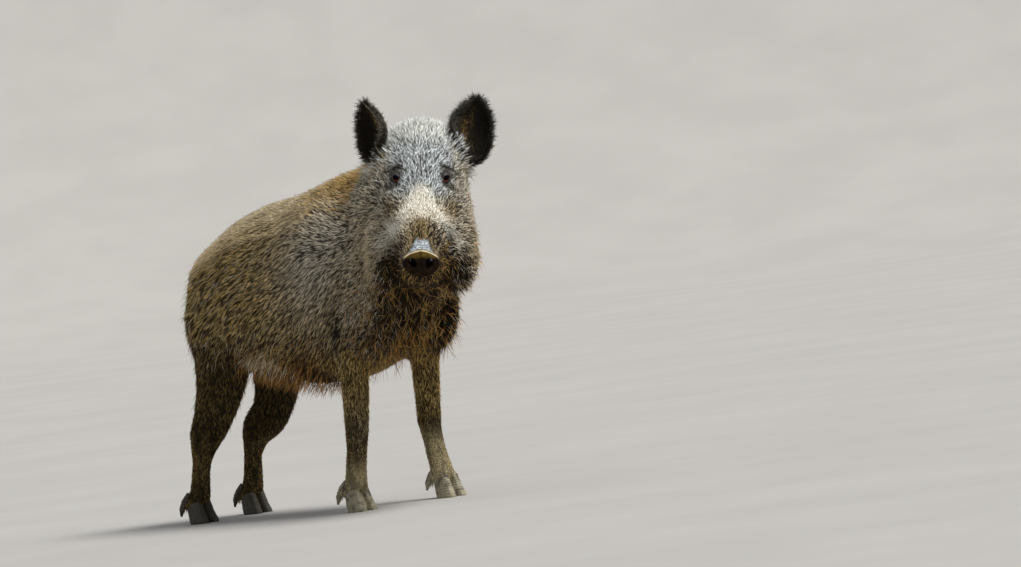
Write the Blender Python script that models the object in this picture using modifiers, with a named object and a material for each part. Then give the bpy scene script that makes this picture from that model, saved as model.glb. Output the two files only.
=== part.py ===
"""A wild boar as a still, life-size museum model: the whole animal in faceted solids, coat tips included.

Frame: metres, +Z up, the boar faces +X and its left side is +Y. The origin lies under the middle of
the animal's box, at floor level. The flesh is made whole from lofts and swellings, melted together,
thinned to a light mesh and then parted into named pieces by thin cuts.
"""

import math

import bmesh
import bpy
import numpy as np
from mathutils import Matrix, Vector

# ---------------------------------------------------------------- driving sizes, in metres
GAP = 0.0003  # left between two pieces that touch
MELT_VOXEL = 0.006  # grid on which the lofts melt into one flesh
MELT_ROUNDS = 14  # smoothing rounds that soften the folds between them
FINE_FACES = 8000  # triangles that would give the whole flesh the mesh of the head and feet
FLESH_FACES = 3500  # triangles left once the rest of the body is thinned further
RING_POINTS = 28  # points round a loft's section in the flesh
HORN_POINTS = 12  # points round a claw
SPUR_POINTS = 6  # points round a dewclaw
TAIL_POINTS = 10
RING_STEPS = 5  # rings between two stations of a loft

# Where each hoof stands: x, y of the foot's middle. The right forefoot is set back.
FORE_RIGHT = Vector((0.244, -0.100, 0.0))
FORE_LEFT = Vector((0.304, 0.135, 0.0))
HIND_RIGHT = Vector((-0.334, -0.092, 0.0))
HIND_LEFT = Vector((-0.344, 0.092, 0.0))

# The head: a point midway between the eyes, and how the head is turned from straight ahead.
EYE_LEVEL = Vector((0.594, -0.086, 0.761))
HEAD_YAW = math.radians(-43.2)  # turned to the boar's right
HEAD_ROLL = math.radians(7.5)  # crown leaning to the boar's left
FACE_PITCH = math.radians(50.0)  # slope of the forehead and snout ridge below level
DISC_PITCH = math.radians(22.0)  # slope of the snout disc's axis below level

EYE_SPREAD = 0.0537  # middle of the head to the middle of an eyeball
EYE_RADIUS = 0.0135
DISC_SIZE = Vector((0.086, 0.070, 0.016))  # snout disc: width, height, thickness
DISC_PLACE = Vector((0.150, 0.0, -0.197))  # its middle, forwards, left and up from the eyes
NOSTRIL_SPREAD = 0.0195

CLAW_WIDTH = 0.025
CLAW_HEIGHT = 0.048
CORONET_TILT = math.radians(16.0)  # the hoof's upper edge is higher in front
DEWCLAW_REACH = {"foreleg": 0.037, "hindleg": 0.035}  # how far behind the foot's middle they end


# ---------------------------------------------------------------- frames
def head_axes():
    """The head's own forwards, left and up directions in the boar's frame."""
    turn = Matrix.Rotation(HEAD_YAW, 3, "Z") @ Matrix.Rotation(HEAD_ROLL, 3, "X").inverted()
    return turn.col[0].copy(), turn.col[1].copy(), turn.col[2].copy()


HEAD_FORE, HEAD_LEFT, HEAD_UP = head_axes()


def on_head(fore, left, up):
    """A point given forwards, left and up from the middle of the eyes."""
    return EYE_LEVEL + HEAD_FORE * fore + HEAD_LEFT * left + HEAD_UP * up


def pitched(angle):
    """Directions along and above a line that slopes down by the angle in front of the head."""
    along = HEAD_FORE * math.cos(angle) - HEAD_UP * math.sin(angle)
    above = HEAD_FORE * math.sin(angle) + HEAD_UP * math.cos(angle)
    return along, above


FACE_ALONG, FACE_ABOVE = pitched(FACE_PITCH)
DISC_ALONG, DISC_ABOVE = pitched(DISC_PITCH)


def on_face(along, above, left=0.0):
    """A point given along the snout ridge, above it and to the left, from the middle of the eyes."""
    return EYE_LEVEL + FACE_ALONG * along + FACE_ABOVE * above + HEAD_LEFT * left


AHEAD, LEFT, UP = Vector((1, 0, 0)), Vector((0, 1, 0)), Vector((0, 0, 1))

# Each ear's root and tip, how far its opening is turned outwards, and how far the middle of the leaf
# stands out from the line between them, at each of the stations in EAR_LEAF.
EARS = {
    "left": (
        on_head(-0.100, 0.098, 0.040), on_head(-0.112, 0.134, 0.189), math.radians(8),
        (0.0, 0.020, 0.007, 0.0, -0.001, 0.001, 0.0),
    ),
    "right": (
        on_head(-0.100, -0.094, 0.040), on_head(-0.112, -0.134, 0.178), math.radians(48),
        (0.0, 0.012, -0.002, -0.008, -0.007, -0.001, 0.0),
    ),
}
EAR_LEAF = (  # share of the length, half width along the arc, half angle of the arc in degrees
    (-0.06, 0.022, 80.0),
    (0.08, 0.046, 96.0),
    (0.28, 0.066, 80.0),
    (0.48, 0.066, 64.0),
    (0.69, 0.052, 50.0),
    (0.87, 0.030, 40.0),
    (1.00, 0.005, 30.0),
)
NAPE = (-0.118, 0.0, 0.0)  # where head and neck part, from the middle of the eyes
MOUTH_CORNER = (0.075, -0.083)  # along and above the face line
NECK_BASE = Vector((0.375, 0.0, 0.600))
CLEAR = 0.40  # half size of a cutting box that reaches past the body
MIDLINE_GAP = 0.008  # flesh left to the trunk between the left and right legs
# height of the joint, lean of the upper cut in degrees, its height, and its ends from back to front
FORELEG_CUTS = (0.185, 8.0, 0.385, (0.19, 0.50))
HINDLEG_CUTS = (0.205, -20.0, 0.445, (-0.60, -0.08))
EAR_HOLLOW = 0.012  # how far the leaf bows back between root and tip
EAR_THICKNESS = 0.009
EAR_POINTS = 8  # points across the leaf


# ---------------------------------------------------------------- mesh helpers
def link(name, mesh, collection):
    thing = bpy.data.objects.new(name, mesh)
    collection.objects.link(thing)
    return thing


def mesh_of(bm, name):
    bmesh.ops.recalc_face_normals(bm, faces=bm.faces)
    mesh = bpy.data.meshes.new(name)
    bm.to_mesh(mesh)
    bm.free()
    return mesh


def spline(rows, steps):
    """Rows of numbers joined by a Catmull-Rom curve, with this many steps from row to row."""
    rows = np.array(rows, float)
    ends = np.vstack([2 * rows[0] - rows[1], rows, 2 * rows[-1] - rows[-2]])
    out = []
    for i in range(1, len(ends) - 2):
        a, b, c, d = ends[i - 1 : i + 3]
        for t in np.linspace(0, 1, steps, endpoint=False):
            out.append(
                0.5 * (2 * b + (c - a) * t + (2 * a - 5 * b + 4 * c - d) * t**2
                       + (3 * b - a - 3 * c + d) * t**3)
            )
    out.append(rows[-1])
    return np.array(out)


def section(side, top, wide, up, down, power, points):
    """One ring of a loft: a rounded outline with its own height above and below its middle."""
    ring = []
    for turn in np.linspace(0, 2 * math.pi, points, endpoint=False):
        across = math.copysign(abs(math.cos(turn)) ** (2 / power), math.cos(turn))
        rise = math.copysign(abs(math.sin(turn)) ** (2 / power), math.sin(turn))
        ring.append(side * across * wide + top * rise * (up if rise > 0 else down))
    return ring


def loft(name, stations, left, collection, steps=RING_STEPS, top=None, points=RING_POINTS):
    """A closed body through stations of (middle, half width, above, below, squareness).

    Each section stands square to the path, or shares one top direction where that is given.
    """
    rows = spline([[*middle, *sizes] for middle, *sizes in stations], steps)
    path = rows[:, :3]
    heading = np.gradient(path, axis=0)
    bm = bmesh.new()
    rings = []
    for middle, forward, row in zip(path, heading, rows):
        if top is None:
            side = (left - Vector(forward) * left.dot(forward) / Vector(forward).length_squared)
            side = side.normalized()
            above = Vector(forward).cross(side).normalized()
        else:
            side, above = left, top
        wide, up, down, power = row[3:]
        outline = section(side, above, wide, up, down, power, points)
        rings.append([bm.verts.new(Vector(middle) + point) for point in outline])
    for ring, following in zip(rings, rings[1:]):
        for i in range(points):
            j = (i + 1) % points
            bm.faces.new((ring[i], ring[j], following[j], following[i]))
    for ring in (rings[0], rings[-1]):
        hub = bm.verts.new(sum((v.co for v in ring), Vector()) / points)
        for i in range(points):
            bm.faces.new((ring[i], ring[(i + 1) % points], hub))
    return link(name, mesh_of(bm, name), collection)


def swelling(name, middle, radii, axes, collection):
    """An ellipsoid: a muscle or a cushion of fat and coat."""
    bm = bmesh.new()
    bmesh.ops.create_uvsphere(bm, u_segments=24, v_segments=14, radius=1.0)
    turn = Matrix([axes[0] * radii[0], axes[1] * radii[1], axes[2] * radii[2]]).transposed()
    bmesh.ops.transform(bm, matrix=Matrix.Translation(middle) @ turn.to_4x4(), verts=bm.verts)
    return link(name, mesh_of(bm, name), collection)


def box(name, low, high, collection, place=Matrix.Identity(4)):
    """A block between two corners, in the frame of the place matrix."""
    bm = bmesh.new()
    bmesh.ops.create_cube(bm, size=1.0)
    low, high = Vector(low), Vector(high)
    size = Matrix.Diagonal((*(high - low), 1.0))
    middle = Matrix.Translation((low + high) / 2)
    bmesh.ops.transform(bm, matrix=place @ middle @ size, verts=bm.verts)
    return link(name, mesh_of(bm, name), collection)


def settle(thing):
    """Bakes an object's modifiers into its mesh."""
    graph = bpy.context.evaluated_depsgraph_get()
    made = bpy.data.meshes.new_from_object(thing.evaluated_get(graph))
    thing.modifiers.clear()
    thing.data = made
    return thing


def boolean(thing, cutter, operation):
    cut = thing.modifiers.new(operation.lower(), "BOOLEAN")
    cut.operation = operation
    cut.object = cutter
    return settle(thing)


def copy_of(thing, name, collection):
    return link(name, thing.data.copy(), collection)


def part_off(whole, name, low, high, place, collection):
    """Takes the piece inside a block off the whole, and leaves a thin gap between the two."""
    grown = Vector((GAP, GAP, GAP))
    inner = box(name + "_block", low, high, collection, place)
    outer = box(name + "_gap", Vector(low) - grown, Vector(high) + grown, collection, place)
    piece = boolean(copy_of(whole, name, collection), inner, "INTERSECT")
    boolean(whole, outer, "DIFFERENCE")
    for cutter in (inner, outer):
        bpy.data.objects.remove(cutter)
    return piece


def grown_copy(thing, by, collection):
    """The same solid with its skin moved out by a little, as a cutter."""
    copy = copy_of(thing, thing.name + "_grown", collection)
    for vertex in copy.data.vertices:
        vertex.co += vertex.normal * by
    return copy


def trim(thing, neighbour, collection):
    """Cuts the thing back to its neighbour's surface, less the gap."""
    cutter = grown_copy(neighbour, GAP, collection)
    boolean(thing, cutter, "DIFFERENCE")
    bpy.data.objects.remove(cutter)
    keep_largest(thing)


def keep_largest(thing):
    """Drops loose crumbs that a cut leaves, such as the root of an ear inside the head."""
    bm = bmesh.new()
    bm.from_mesh(thing.data)
    unseen, islands = set(bm.verts), []
    while unseen:
        island, edge = set(), {next(iter(unseen))}
        while edge:
            island |= edge
            edge = {e.other_vert(v) for v in edge for e in v.link_edges} - island
        unseen -= island
        islands.append(island)
    keep = max(islands, key=len)
    bmesh.ops.delete(bm, geom=[v for v in bm.verts if v not in keep], context="VERTS")
    bm.to_mesh(thing.data)
    bm.free()


def look(name, colour, roughness):
    """A plain finish: colour, roughness, no metal."""
    material = bpy.data.materials.new(name)
    material.use_nodes = True
    shader = material.node_tree.nodes["Principled BSDF"]
    shader.inputs["Base Color"].default_value = (*colour, 1.0)
    shader.inputs["Roughness"].default_value = roughness
    shader.inputs["Metallic"].default_value = 0.0
    material.diffuse_color = (*colour, 1.0)
    return material


# ---------------------------------------------------------------- the flesh, in overlapping forms
def trunk_forms(shop):
    """Barrel, rump and breast: one loft from the tail root to the breast."""
    ahead = [
        # x, height of the widest level, half width, above, below, squareness
        (-0.316, 0.505, 0.040, 0.060, 0.075, 2.0),
        (-0.293, 0.515, 0.078, 0.100, 0.125, 2.1),
        (-0.250, 0.525, 0.115, 0.130, 0.165, 2.2),
        (-0.185, 0.530, 0.140, 0.160, 0.178, 2.2),
        (-0.100, 0.530, 0.155, 0.198, 0.185, 2.2),
        (0.000, 0.530, 0.166, 0.222, 0.215, 2.2),
        (0.100, 0.535, 0.171, 0.228, 0.235, 2.2),
        (0.200, 0.545, 0.172, 0.240, 0.242, 2.2),
        (0.280, 0.560, 0.170, 0.243, 0.238, 2.2),
        (0.350, 0.570, 0.160, 0.240, 0.218, 2.1),
        (0.410, 0.570, 0.138, 0.215, 0.180, 2.0),
        (0.455, 0.565, 0.098, 0.150, 0.128, 2.0),
        (0.480, 0.562, 0.045, 0.075, 0.064, 2.0),
    ]
    stations = [((x, 0.0, z), wide, up, down, n) for x, z, wide, up, down, n in ahead]
    forms = [loft("barrel", stations, LEFT, shop, top=UP)]
    for side in (-1, 1):
        point = Vector((0.355, side * 0.098, 0.470))
        forms.append(swelling("point_of_shoulder", point, (0.098, 0.072, 0.125), (AHEAD, LEFT, UP), shop))
    return forms


def neck_forms(shop):
    """The neck, deep and thick, rising forwards and bending to the right at its end."""
    stations = [
        ((0.240, 0.000, 0.600), 0.145, 0.185, 0.220, 2.1),
        ((0.330, 0.002, 0.628), 0.145, 0.182, 0.215, 2.1),
        ((0.405, 0.004, 0.662), 0.142, 0.170, 0.205, 2.1),
        ((0.465, -0.008, 0.698), 0.136, 0.156, 0.192, 2.1),
        ((0.515, -0.036, 0.728), 0.124, 0.136, 0.166, 2.0),
        ((0.550, -0.068, 0.748), 0.092, 0.100, 0.120, 2.0),
    ]
    return [loft("nape_and_throat", stations, LEFT, shop)]


def head_forms(shop):
    """Skull, cheeks and muzzle in sections square to the snout ridge."""
    along = [
        # along the ridge, widest level, half width, above, below, squareness
        (-0.190, -0.090, 0.072, 0.090, 0.080, 2.0),
        (-0.155, -0.100, 0.103, 0.129, 0.096, 2.0),
        (-0.095, -0.105, 0.114, 0.147, 0.102, 1.9),
        (-0.035, -0.100, 0.113, 0.140, 0.100, 1.8),
        (0.025, -0.086, 0.105, 0.118, 0.094, 1.8),
        (0.080, -0.066, 0.087, 0.089, 0.082, 1.9),
        (0.130, -0.046, 0.070, 0.065, 0.072, 2.1),
        (0.175, -0.034, 0.058, 0.051, 0.060, 2.2),
        (0.215, -0.024, 0.048, 0.040, 0.044, 2.2),
        (0.245, -0.022, 0.041, 0.028, 0.030, 2.2),
    ]
    stations = [(on_face(a, mid), wide, up, down, n) for a, mid, wide, up, down, n in along]
    forms = [loft("skull", stations, HEAD_LEFT, shop, top=FACE_ABOVE)]
    mandible = [
        # forwards and up from the eyes, half width, above, below, squareness
        (0.088, -0.214, 0.014, 0.022, 0.010, 2.0),
        (0.076, -0.210, 0.029, 0.034, 0.022, 2.1),
        (0.045, -0.202, 0.042, 0.050, 0.038, 2.2),
        (0.000, -0.190, 0.060, 0.064, 0.057, 2.2),
        (-0.050, -0.176, 0.080, 0.074, 0.077, 2.1),
        (-0.105, -0.162, 0.082, 0.076, 0.092, 2.0),
        (-0.150, -0.152, 0.070, 0.070, 0.080, 2.0),
    ]
    stations = [(on_head(fore, 0.0, up), wide, top, low, n) for fore, up, wide, top, low, n in mandible]
    forms.append(loft("mandible", stations, HEAD_LEFT, shop, top=HEAD_UP))
    for side in (-1, 1):
        jowl = on_head(-0.085, side * 0.080, -0.160)
        forms.append(swelling("jowl", jowl, (0.078, 0.056, 0.108), (HEAD_FORE, HEAD_LEFT, HEAD_UP), shop))
    return forms


def leg_forms(shop):
    """Shoulder and foreleg, thigh and hind leg, on each side, each with its own way of standing."""
    fore_sizes = [
        # height, half width, in front, behind, squareness
        (0.600, 0.078, 0.110, 0.115, 2.0),
        (0.500, 0.066, 0.095, 0.100, 2.0),
        (0.420, 0.054, 0.066, 0.074, 2.0),
        (0.340, 0.038, 0.042, 0.046, 2.0),
        (0.265, 0.034, 0.035, 0.039, 2.0),
        (0.190, 0.030, 0.032, 0.032, 2.1),
        (0.140, 0.027, 0.027, 0.028, 2.0),
        (0.095, 0.027, 0.027, 0.031, 2.0),
        (0.056, 0.028, 0.031, 0.030, 2.1),
        (0.020, 0.026, 0.030, 0.026, 2.1),
    ]
    hind_sizes = [
        (0.605, 0.052, 0.070, 0.050, 2.0),
        (0.500, 0.070, 0.108, 0.088, 2.0),
        (0.400, 0.062, 0.098, 0.078, 2.0),
        (0.320, 0.051, 0.080, 0.063, 2.0),
        (0.255, 0.038, 0.069, 0.051, 2.0),
        (0.205, 0.033, 0.050, 0.048, 2.1),
        (0.150, 0.025, 0.027, 0.029, 2.0),
        (0.100, 0.026, 0.027, 0.028, 2.0),
        (0.056, 0.028, 0.030, 0.029, 2.1),
        (0.020, 0.026, 0.029, 0.026, 2.1),
    ]
    ways = {
        # x and y of the leg's middle, at each of those heights
        "foreleg_right": (fore_sizes, [
            (0.300, -0.070), (0.316, -0.095), (0.312, -0.103), (0.304, -0.105), (0.295, -0.105),
            (0.282, -0.104), (0.271, -0.103), (0.260, -0.102), (0.252, -0.101), (0.256, -0.100),
        ]),
        "foreleg_left": (fore_sizes, [
            (0.300, 0.070), (0.320, 0.097), (0.319, 0.110), (0.309, 0.119), (0.298, 0.124),
            (0.286, 0.128), (0.289, 0.130), (0.296, 0.132), (0.304, 0.134), (0.314, 0.135),
        ]),
        "hindleg_right": (hind_sizes, [
            (-0.190, -0.052), (-0.196, -0.077), (-0.183, -0.088), (-0.205, -0.093), (-0.242, -0.095),
            (-0.272, -0.095), (-0.293, -0.095), (-0.309, -0.094), (-0.322, -0.093), (-0.326, -0.092),
        ]),
        "hindleg_left": (hind_sizes, [
            (-0.190, 0.052), (-0.196, 0.077), (-0.183, 0.088), (-0.203, 0.093), (-0.237, 0.095),
            (-0.292, 0.095), (-0.318, 0.095), (-0.327, 0.094), (-0.336, 0.093), (-0.338, 0.092),
        ]),
    }
    forms = []
    for name, (sizes, middles) in ways.items():
        stations = [(Vector((x, y, z)), *rest) for (z, *rest), (x, y) in zip(sizes, middles)]
        forms.append(loft(name, stations, LEFT, shop))
    return forms


def melt(forms, shop):
    """Joins the overlapping forms into one flesh, softens the folds and thins the mesh."""
    bm = bmesh.new()
    for form in forms:
        bm.from_mesh(form.data)
        bpy.data.objects.remove(form)
    flesh = link("flesh", mesh_of(bm, "flesh"), shop)
    remesh = flesh.modifiers.new("melt", "REMESH")
    remesh.mode = "VOXEL"
    remesh.voxel_size = MELT_VOXEL
    smooth = flesh.modifiers.new("soften", "SMOOTH")
    smooth.factor = 0.5
    smooth.iterations = MELT_ROUNDS
    settle(flesh)
    thin = flesh.modifiers.new("thin", "DECIMATE")
    thin.ratio = FINE_FACES / (2 * len(flesh.data.polygons))
    settle(flesh)
    fine = flesh.vertex_groups.new(name="fine")
    for vertex in flesh.data.vertices:
        on_the_head = (vertex.co - EYE_LEVEL).length < 0.24
        on_a_foot = vertex.co.z < 0.10
        if on_the_head or on_a_foot:
            fine.add([vertex.index], 1.0, "REPLACE")
    thin = flesh.modifiers.new("thin_body", "DECIMATE")
    thin.ratio = FLESH_FACES / len(flesh.data.polygons)
    thin.vertex_group = "fine"
    thin.invert_vertex_group = True
    return settle(flesh)


# ---------------------------------------------------------------- small pieces
def eye(name, side, shop, grow=0.0):
    bm = bmesh.new()
    bmesh.ops.create_uvsphere(bm, u_segments=12, v_segments=8, radius=EYE_RADIUS + grow)
    bmesh.ops.translate(bm, verts=bm.verts, vec=on_head(0.0, side * EYE_SPREAD, 0.0))
    return link(name, mesh_of(bm, name), shop)


def ear(name, root, tip, turned_out, sway, side, shop):
    """A cupped leaf with thick edges: a tube at its root that opens and flattens to the tip."""
    opening = HEAD_FORE * math.cos(turned_out) + HEAD_LEFT * side * math.sin(turned_out)
    rise = (tip - root).normalized()
    across = rise.cross(opening).normalized()
    opening = across.cross(rise).normalized()
    outwards = across * math.copysign(1.0, across.dot(HEAD_LEFT) * side)
    shape = spline([(*row, out) for row, out in zip(EAR_LEAF, sway)], 2)
    bm = bmesh.new()
    rows = []
    for share, half, degrees, out in shape:
        angle = math.radians(degrees)
        radius = half / angle
        sag = EAR_HOLLOW * math.sin(math.pi * max(share, 0.0))
        middle = root.lerp(tip, share) - opening * sag + outwards * out
        row = []
        for turn in np.linspace(-angle, angle, EAR_POINTS):
            depth = (math.cos(turn) - math.cos(angle / 2)) * radius
            row.append(bm.verts.new(middle + across * math.sin(turn) * radius - opening * depth))
        rows.append(row)
    for row, following in zip(rows, rows[1:]):
        for i in range(len(row) - 1):
            bm.faces.new((row[i], row[i + 1], following[i + 1], following[i]))
    leaf = link(name, mesh_of(bm, name), shop)
    thick = leaf.modifiers.new("thickness", "SOLIDIFY")
    thick.thickness = EAR_THICKNESS
    thick.offset = 0.0
    return settle(leaf)


def snout_disc(name, shop):
    """The bare disc at the end of the muzzle, with a soft rim and two nostrils."""
    middle = on_head(*DISC_PLACE)
    place = Matrix([HEAD_LEFT, DISC_ABOVE, DISC_ALONG]).transposed().to_4x4()
    place.translation = middle
    bm = bmesh.new()
    bmesh.ops.create_cone(bm, cap_ends=True, segments=24, radius1=0.5, radius2=0.5, depth=1.0)
    bmesh.ops.transform(bm, matrix=Matrix.Diagonal((*DISC_SIZE, 1.0)), verts=bm.verts)
    bm.transform(place)
    disc = link(name, mesh_of(bm, name), shop)
    rim = disc.modifiers.new("rim", "BEVEL")
    rim.width = 0.005
    rim.segments = 2
    rim.limit_method = "ANGLE"
    settle(disc)
    for side in (-1, 1):
        bm = bmesh.new()
        bmesh.ops.create_cone(bm, cap_ends=True, segments=10, radius1=0.0035, radius2=0.0090, depth=0.016)
        hole = link("nostril", mesh_of(bm, "nostril"), shop)
        hole.data.transform(Matrix.Diagonal((0.85, 1.05, 1.0, 1.0)))
        lean = Matrix.Rotation(math.radians(-14 * side), 4, "Z")
        hole.data.transform(place @ Matrix.Translation((side * NOSTRIL_SPREAD, 0.004, 0.005)) @ lean)
        boolean(disc, hole, "DIFFERENCE")
        bpy.data.objects.remove(hole)
    return disc


def claw(name, foot, side, shop):
    """One half of a cloven hoof: flat below, sloping in front, cut off level with the coronet."""
    inner = side * (CLAW_WIDTH / 2 + 0.002)
    stations = [
        (foot + Vector((0.014, inner + side * 0.002, 0.0)), CLAW_WIDTH / 2, 0.034, 0.024, 2.6),
        (foot + Vector((0.013, inner + side * 0.002, 0.006)), CLAW_WIDTH / 2 + 0.001, 0.033, 0.026, 2.6),
        (foot + Vector((0.009, inner + side * 0.001, 0.026)), CLAW_WIDTH / 2, 0.027, 0.026, 2.4),
        (foot + Vector((0.006, inner, 0.066)), CLAW_WIDTH / 2 - 0.001, 0.016, 0.024, 2.2),
    ]
    return loft(name, stations, LEFT, shop, steps=1, top=AHEAD, points=HORN_POINTS)


def dewclaw(name, foot, side, reach, shop):
    """A small horn behind the pastern, pointing down and back by the given reach."""
    stations = [
        (foot + Vector((-0.10 * reach, side * 0.019, 0.074)), 0.007, 0.008, 0.008, 2.0),
        (foot + Vector((-0.52 * reach, side * 0.023, 0.057)), 0.0085, 0.010, 0.010, 2.0),
        (foot + Vector((-0.85 * reach, side * 0.026, 0.038)), 0.0070, 0.008, 0.009, 2.0),
        (foot + Vector((-1.00 * reach, side * 0.027, 0.021)), 0.0025, 0.003, 0.003, 2.0),
    ]
    return loft(name, stations, LEFT, shop, steps=1, points=SPUR_POINTS)


def tail(name, shop):
    """A thin tail that hangs close to the buttocks and ends in a long tassel."""
    stations = [
        (Vector((-0.280, 0.0, 0.612)), 0.018, 0.020, 0.020, 2.0),
        (Vector((-0.315, 0.0, 0.590)), 0.016, 0.017, 0.017, 2.0),
        (Vector((-0.335, 0.002, 0.530)), 0.012, 0.013, 0.013, 2.0),
        (Vector((-0.340, 0.005, 0.455)), 0.012, 0.013, 0.013, 2.0),
        (Vector((-0.338, 0.008, 0.385)), 0.018, 0.018, 0.018, 2.0),
        (Vector((-0.334, 0.010, 0.325)), 0.007, 0.008, 0.008, 2.0),
    ]
    return loft(name, stations, LEFT, shop, steps=2, points=TAIL_POINTS)


# ---------------------------------------------------------------- parting the flesh
def place_of(point, normal, across):
    """A frame at a point whose +Z is the normal and +Y lies near the given direction."""
    normal = normal.normalized()
    across = (across - normal * across.dot(normal)).normalized()
    place = Matrix([across.cross(normal), across, normal]).transposed().to_4x4()
    place.translation = point
    return place


def part_head(flesh, pieces, shop):
    """Off come the muzzle's end, the head at the nape, the lower jaw and the neck."""
    back_of_disc = on_head(*DISC_PLACE) - DISC_ALONG * (DISC_SIZE.z / 2 + GAP)
    ahead = place_of(back_of_disc, DISC_ALONG, HEAD_LEFT)
    stub = box("stub", (-CLEAR, -CLEAR, 0.0), (CLEAR, CLEAR, CLEAR), shop, ahead)
    boolean(flesh, stub, "DIFFERENCE")
    bpy.data.objects.remove(stub)

    back = place_of(on_head(*NAPE), HEAD_FORE * 0.93 + HEAD_UP * 0.36, HEAD_LEFT)
    head = part_off(flesh, "head", (-CLEAR, -CLEAR, 0.0), (CLEAR, CLEAR, CLEAR), back, shop)

    mouth = place_of(on_face(*MOUTH_CORNER), FACE_ABOVE * 0.99 - FACE_ALONG * 0.14, HEAD_LEFT)
    forwards = math.copysign(2 * CLEAR, (mouth.inverted() @ on_head(*DISC_PLACE)).x)
    low, high = sorted((0.0, forwards))
    jaw = part_off(head, "lower_jaw", (low, -CLEAR, -CLEAR), (high, CLEAR, 0.0), mouth, shop)

    base = place_of(NECK_BASE, AHEAD * 0.93 + UP * 0.36, LEFT)
    neck = part_off(flesh, "neck", (-CLEAR, -CLEAR, 0.0), (CLEAR, CLEAR, CLEAR), base, shop)
    pieces += [head, jaw, neck]
    return head


def part_legs(flesh, pieces, shop):
    """Off come the legs, each in an upper and a lower length, with the hooves' tops cut away."""
    lower = {}
    for side, name in ((1, "left"), (-1, "right")):
        inner, outer = sorted((side * MIDLINE_GAP / 2, side * CLEAR))
        for where, foot, (joint_z, lean, top_z, (back, front)) in (
            ("foreleg", FORE_LEFT if side > 0 else FORE_RIGHT, FORELEG_CUTS),
            ("hindleg", HIND_LEFT if side > 0 else HIND_RIGHT, HINDLEG_CUTS),
        ):
            middle = Matrix.Translation(((back + front) / 2, 0, top_z))
            slope = middle @ Matrix.Rotation(math.radians(lean), 4, "Y")
            half = (front - back) / 2
            low, high = (-half, inner, -2 * CLEAR), (half, outer, 0.0)
            leg = part_off(flesh, f"{where}_{name}_upper", low, high, slope, shop)
            level = Matrix.Translation((0, 0, joint_z))
            shin = part_off(leg, f"{where}_{name}_lower", (-1, -1, -1), (1, 1, 0), level, shop)
            pieces += [leg, shin]
            lower[where, side] = (shin, foot)
    return lower


def hooves(lower, pieces, shop):
    """Two claws and two dewclaws on each foot, fitted to the lower leg."""
    for (where, side), (shin, foot) in lower.items():
        name = f"{where}_{'left' if side > 0 else 'right'}"
        coronet = Matrix.Translation(foot + Vector((0, 0, CLAW_HEIGHT)))
        coronet = coronet @ Matrix.Rotation(-CORONET_TILT, 4, "Y")
        below = box("below", (-1, -1, -1), (1, 1, 0), shop, coronet)
        above = box("above", (-1, -1, -GAP), (1, 1, 1), shop, coronet)
        boolean(shin, below, "DIFFERENCE")
        for half, which in ((side, "outer"), (-side, "inner")):
            horn = claw(f"claw_{name}_{which}", foot, half, shop)
            boolean(horn, above, "DIFFERENCE")
            spur = dewclaw(f"dewclaw_{name}_{which}", foot, half, DEWCLAW_REACH[where], shop)
            trim(spur, shin, shop)
            trim(spur, horn, shop)
            pieces += [horn, spur]
        for cutter in (below, above):
            bpy.data.objects.remove(cutter)


def centre(pieces):
    """Moves everything so that the origin is under the middle of the box, at the soles."""
    corners = [Vector(v.co) for piece in pieces for v in piece.data.vertices]
    low = Vector(min(c[i] for c in corners) for i in range(3))
    high = Vector(max(c[i] for c in corners) for i in range(3))
    shift = Vector((-(low.x + high.x) / 2, -(low.y + high.y) / 2, 0.0))
    for piece in pieces:
        piece.data.transform(Matrix.Translation(shift))
    print("moved by", [round(c, 5) for c in shift], "box", [round(c, 4) for c in high - low])


def main():
    for thing in list(bpy.data.objects):
        bpy.data.objects.remove(thing)
    shop = bpy.data.collections.new("wild_boar")
    bpy.context.scene.collection.children.link(shop)

    flesh = melt(trunk_forms(shop) + neck_forms(shop) + head_forms(shop) + leg_forms(shop), shop)
    pieces = []
    head = part_head(flesh, pieces, shop)
    lower = part_legs(flesh, pieces, shop)
    flesh.name = "trunk"
    pieces.append(flesh)
    hooves(lower, pieces, shop)

    for side, name in ((1, "left"), (-1, "right")):
        ball = eye(f"eye_{name}", side, shop)
        socket = eye("socket", side, shop, grow=GAP)
        boolean(head, socket, "DIFFERENCE")
        bpy.data.objects.remove(socket)
        leaf = ear(f"ear_{name}", *EARS[name], side, shop)
        trim(leaf, head, shop)
        pieces += [ball, leaf]
    pieces.append(snout_disc("snout_disc", shop))
    brush = tail("tail", shop)
    trim(brush, flesh, shop)
    pieces.append(brush)
    centre(pieces)

    coat = look("coat", (0.105, 0.085, 0.065), 0.75)
    ear_coat = look("ear_coat", (0.035, 0.032, 0.030), 0.80)
    disc_skin = look("disc_skin", (0.085, 0.070, 0.060), 0.45)
    horn = look("horn", (0.075, 0.070, 0.062), 0.55)
    eyeball = look("eyeball", (0.035, 0.018, 0.010), 0.08)
    by_name = {"ear": ear_coat, "snout": disc_skin, "claw": horn, "dewclaw": horn, "eye": eyeball}
    for piece in pieces:
        keep_largest(piece)
        piece.data.materials.clear()
        piece.data.materials.append(by_name.get(piece.name.split("_")[0], coat))
        piece.data.shade_smooth()
        piece.data.set_sharp_from_angle(angle=math.radians(40))


main()
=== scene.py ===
"""A grown wild boar that stands still and looks at the visitor, made for Blender 4.5.

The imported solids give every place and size. The maker lays one skin inside them, sets eyes, snout
and hooves into it, and covers it with a coat of solid tufts that follow the lie of the hair.
"""

import itertools
import math

import bmesh
import bpy
import numpy as np
from bpy.props import FloatProperty, FloatVectorProperty, IntProperty, PointerProperty
from mathutils import Matrix, Vector
from mathutils.kdtree import KDTree


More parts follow.
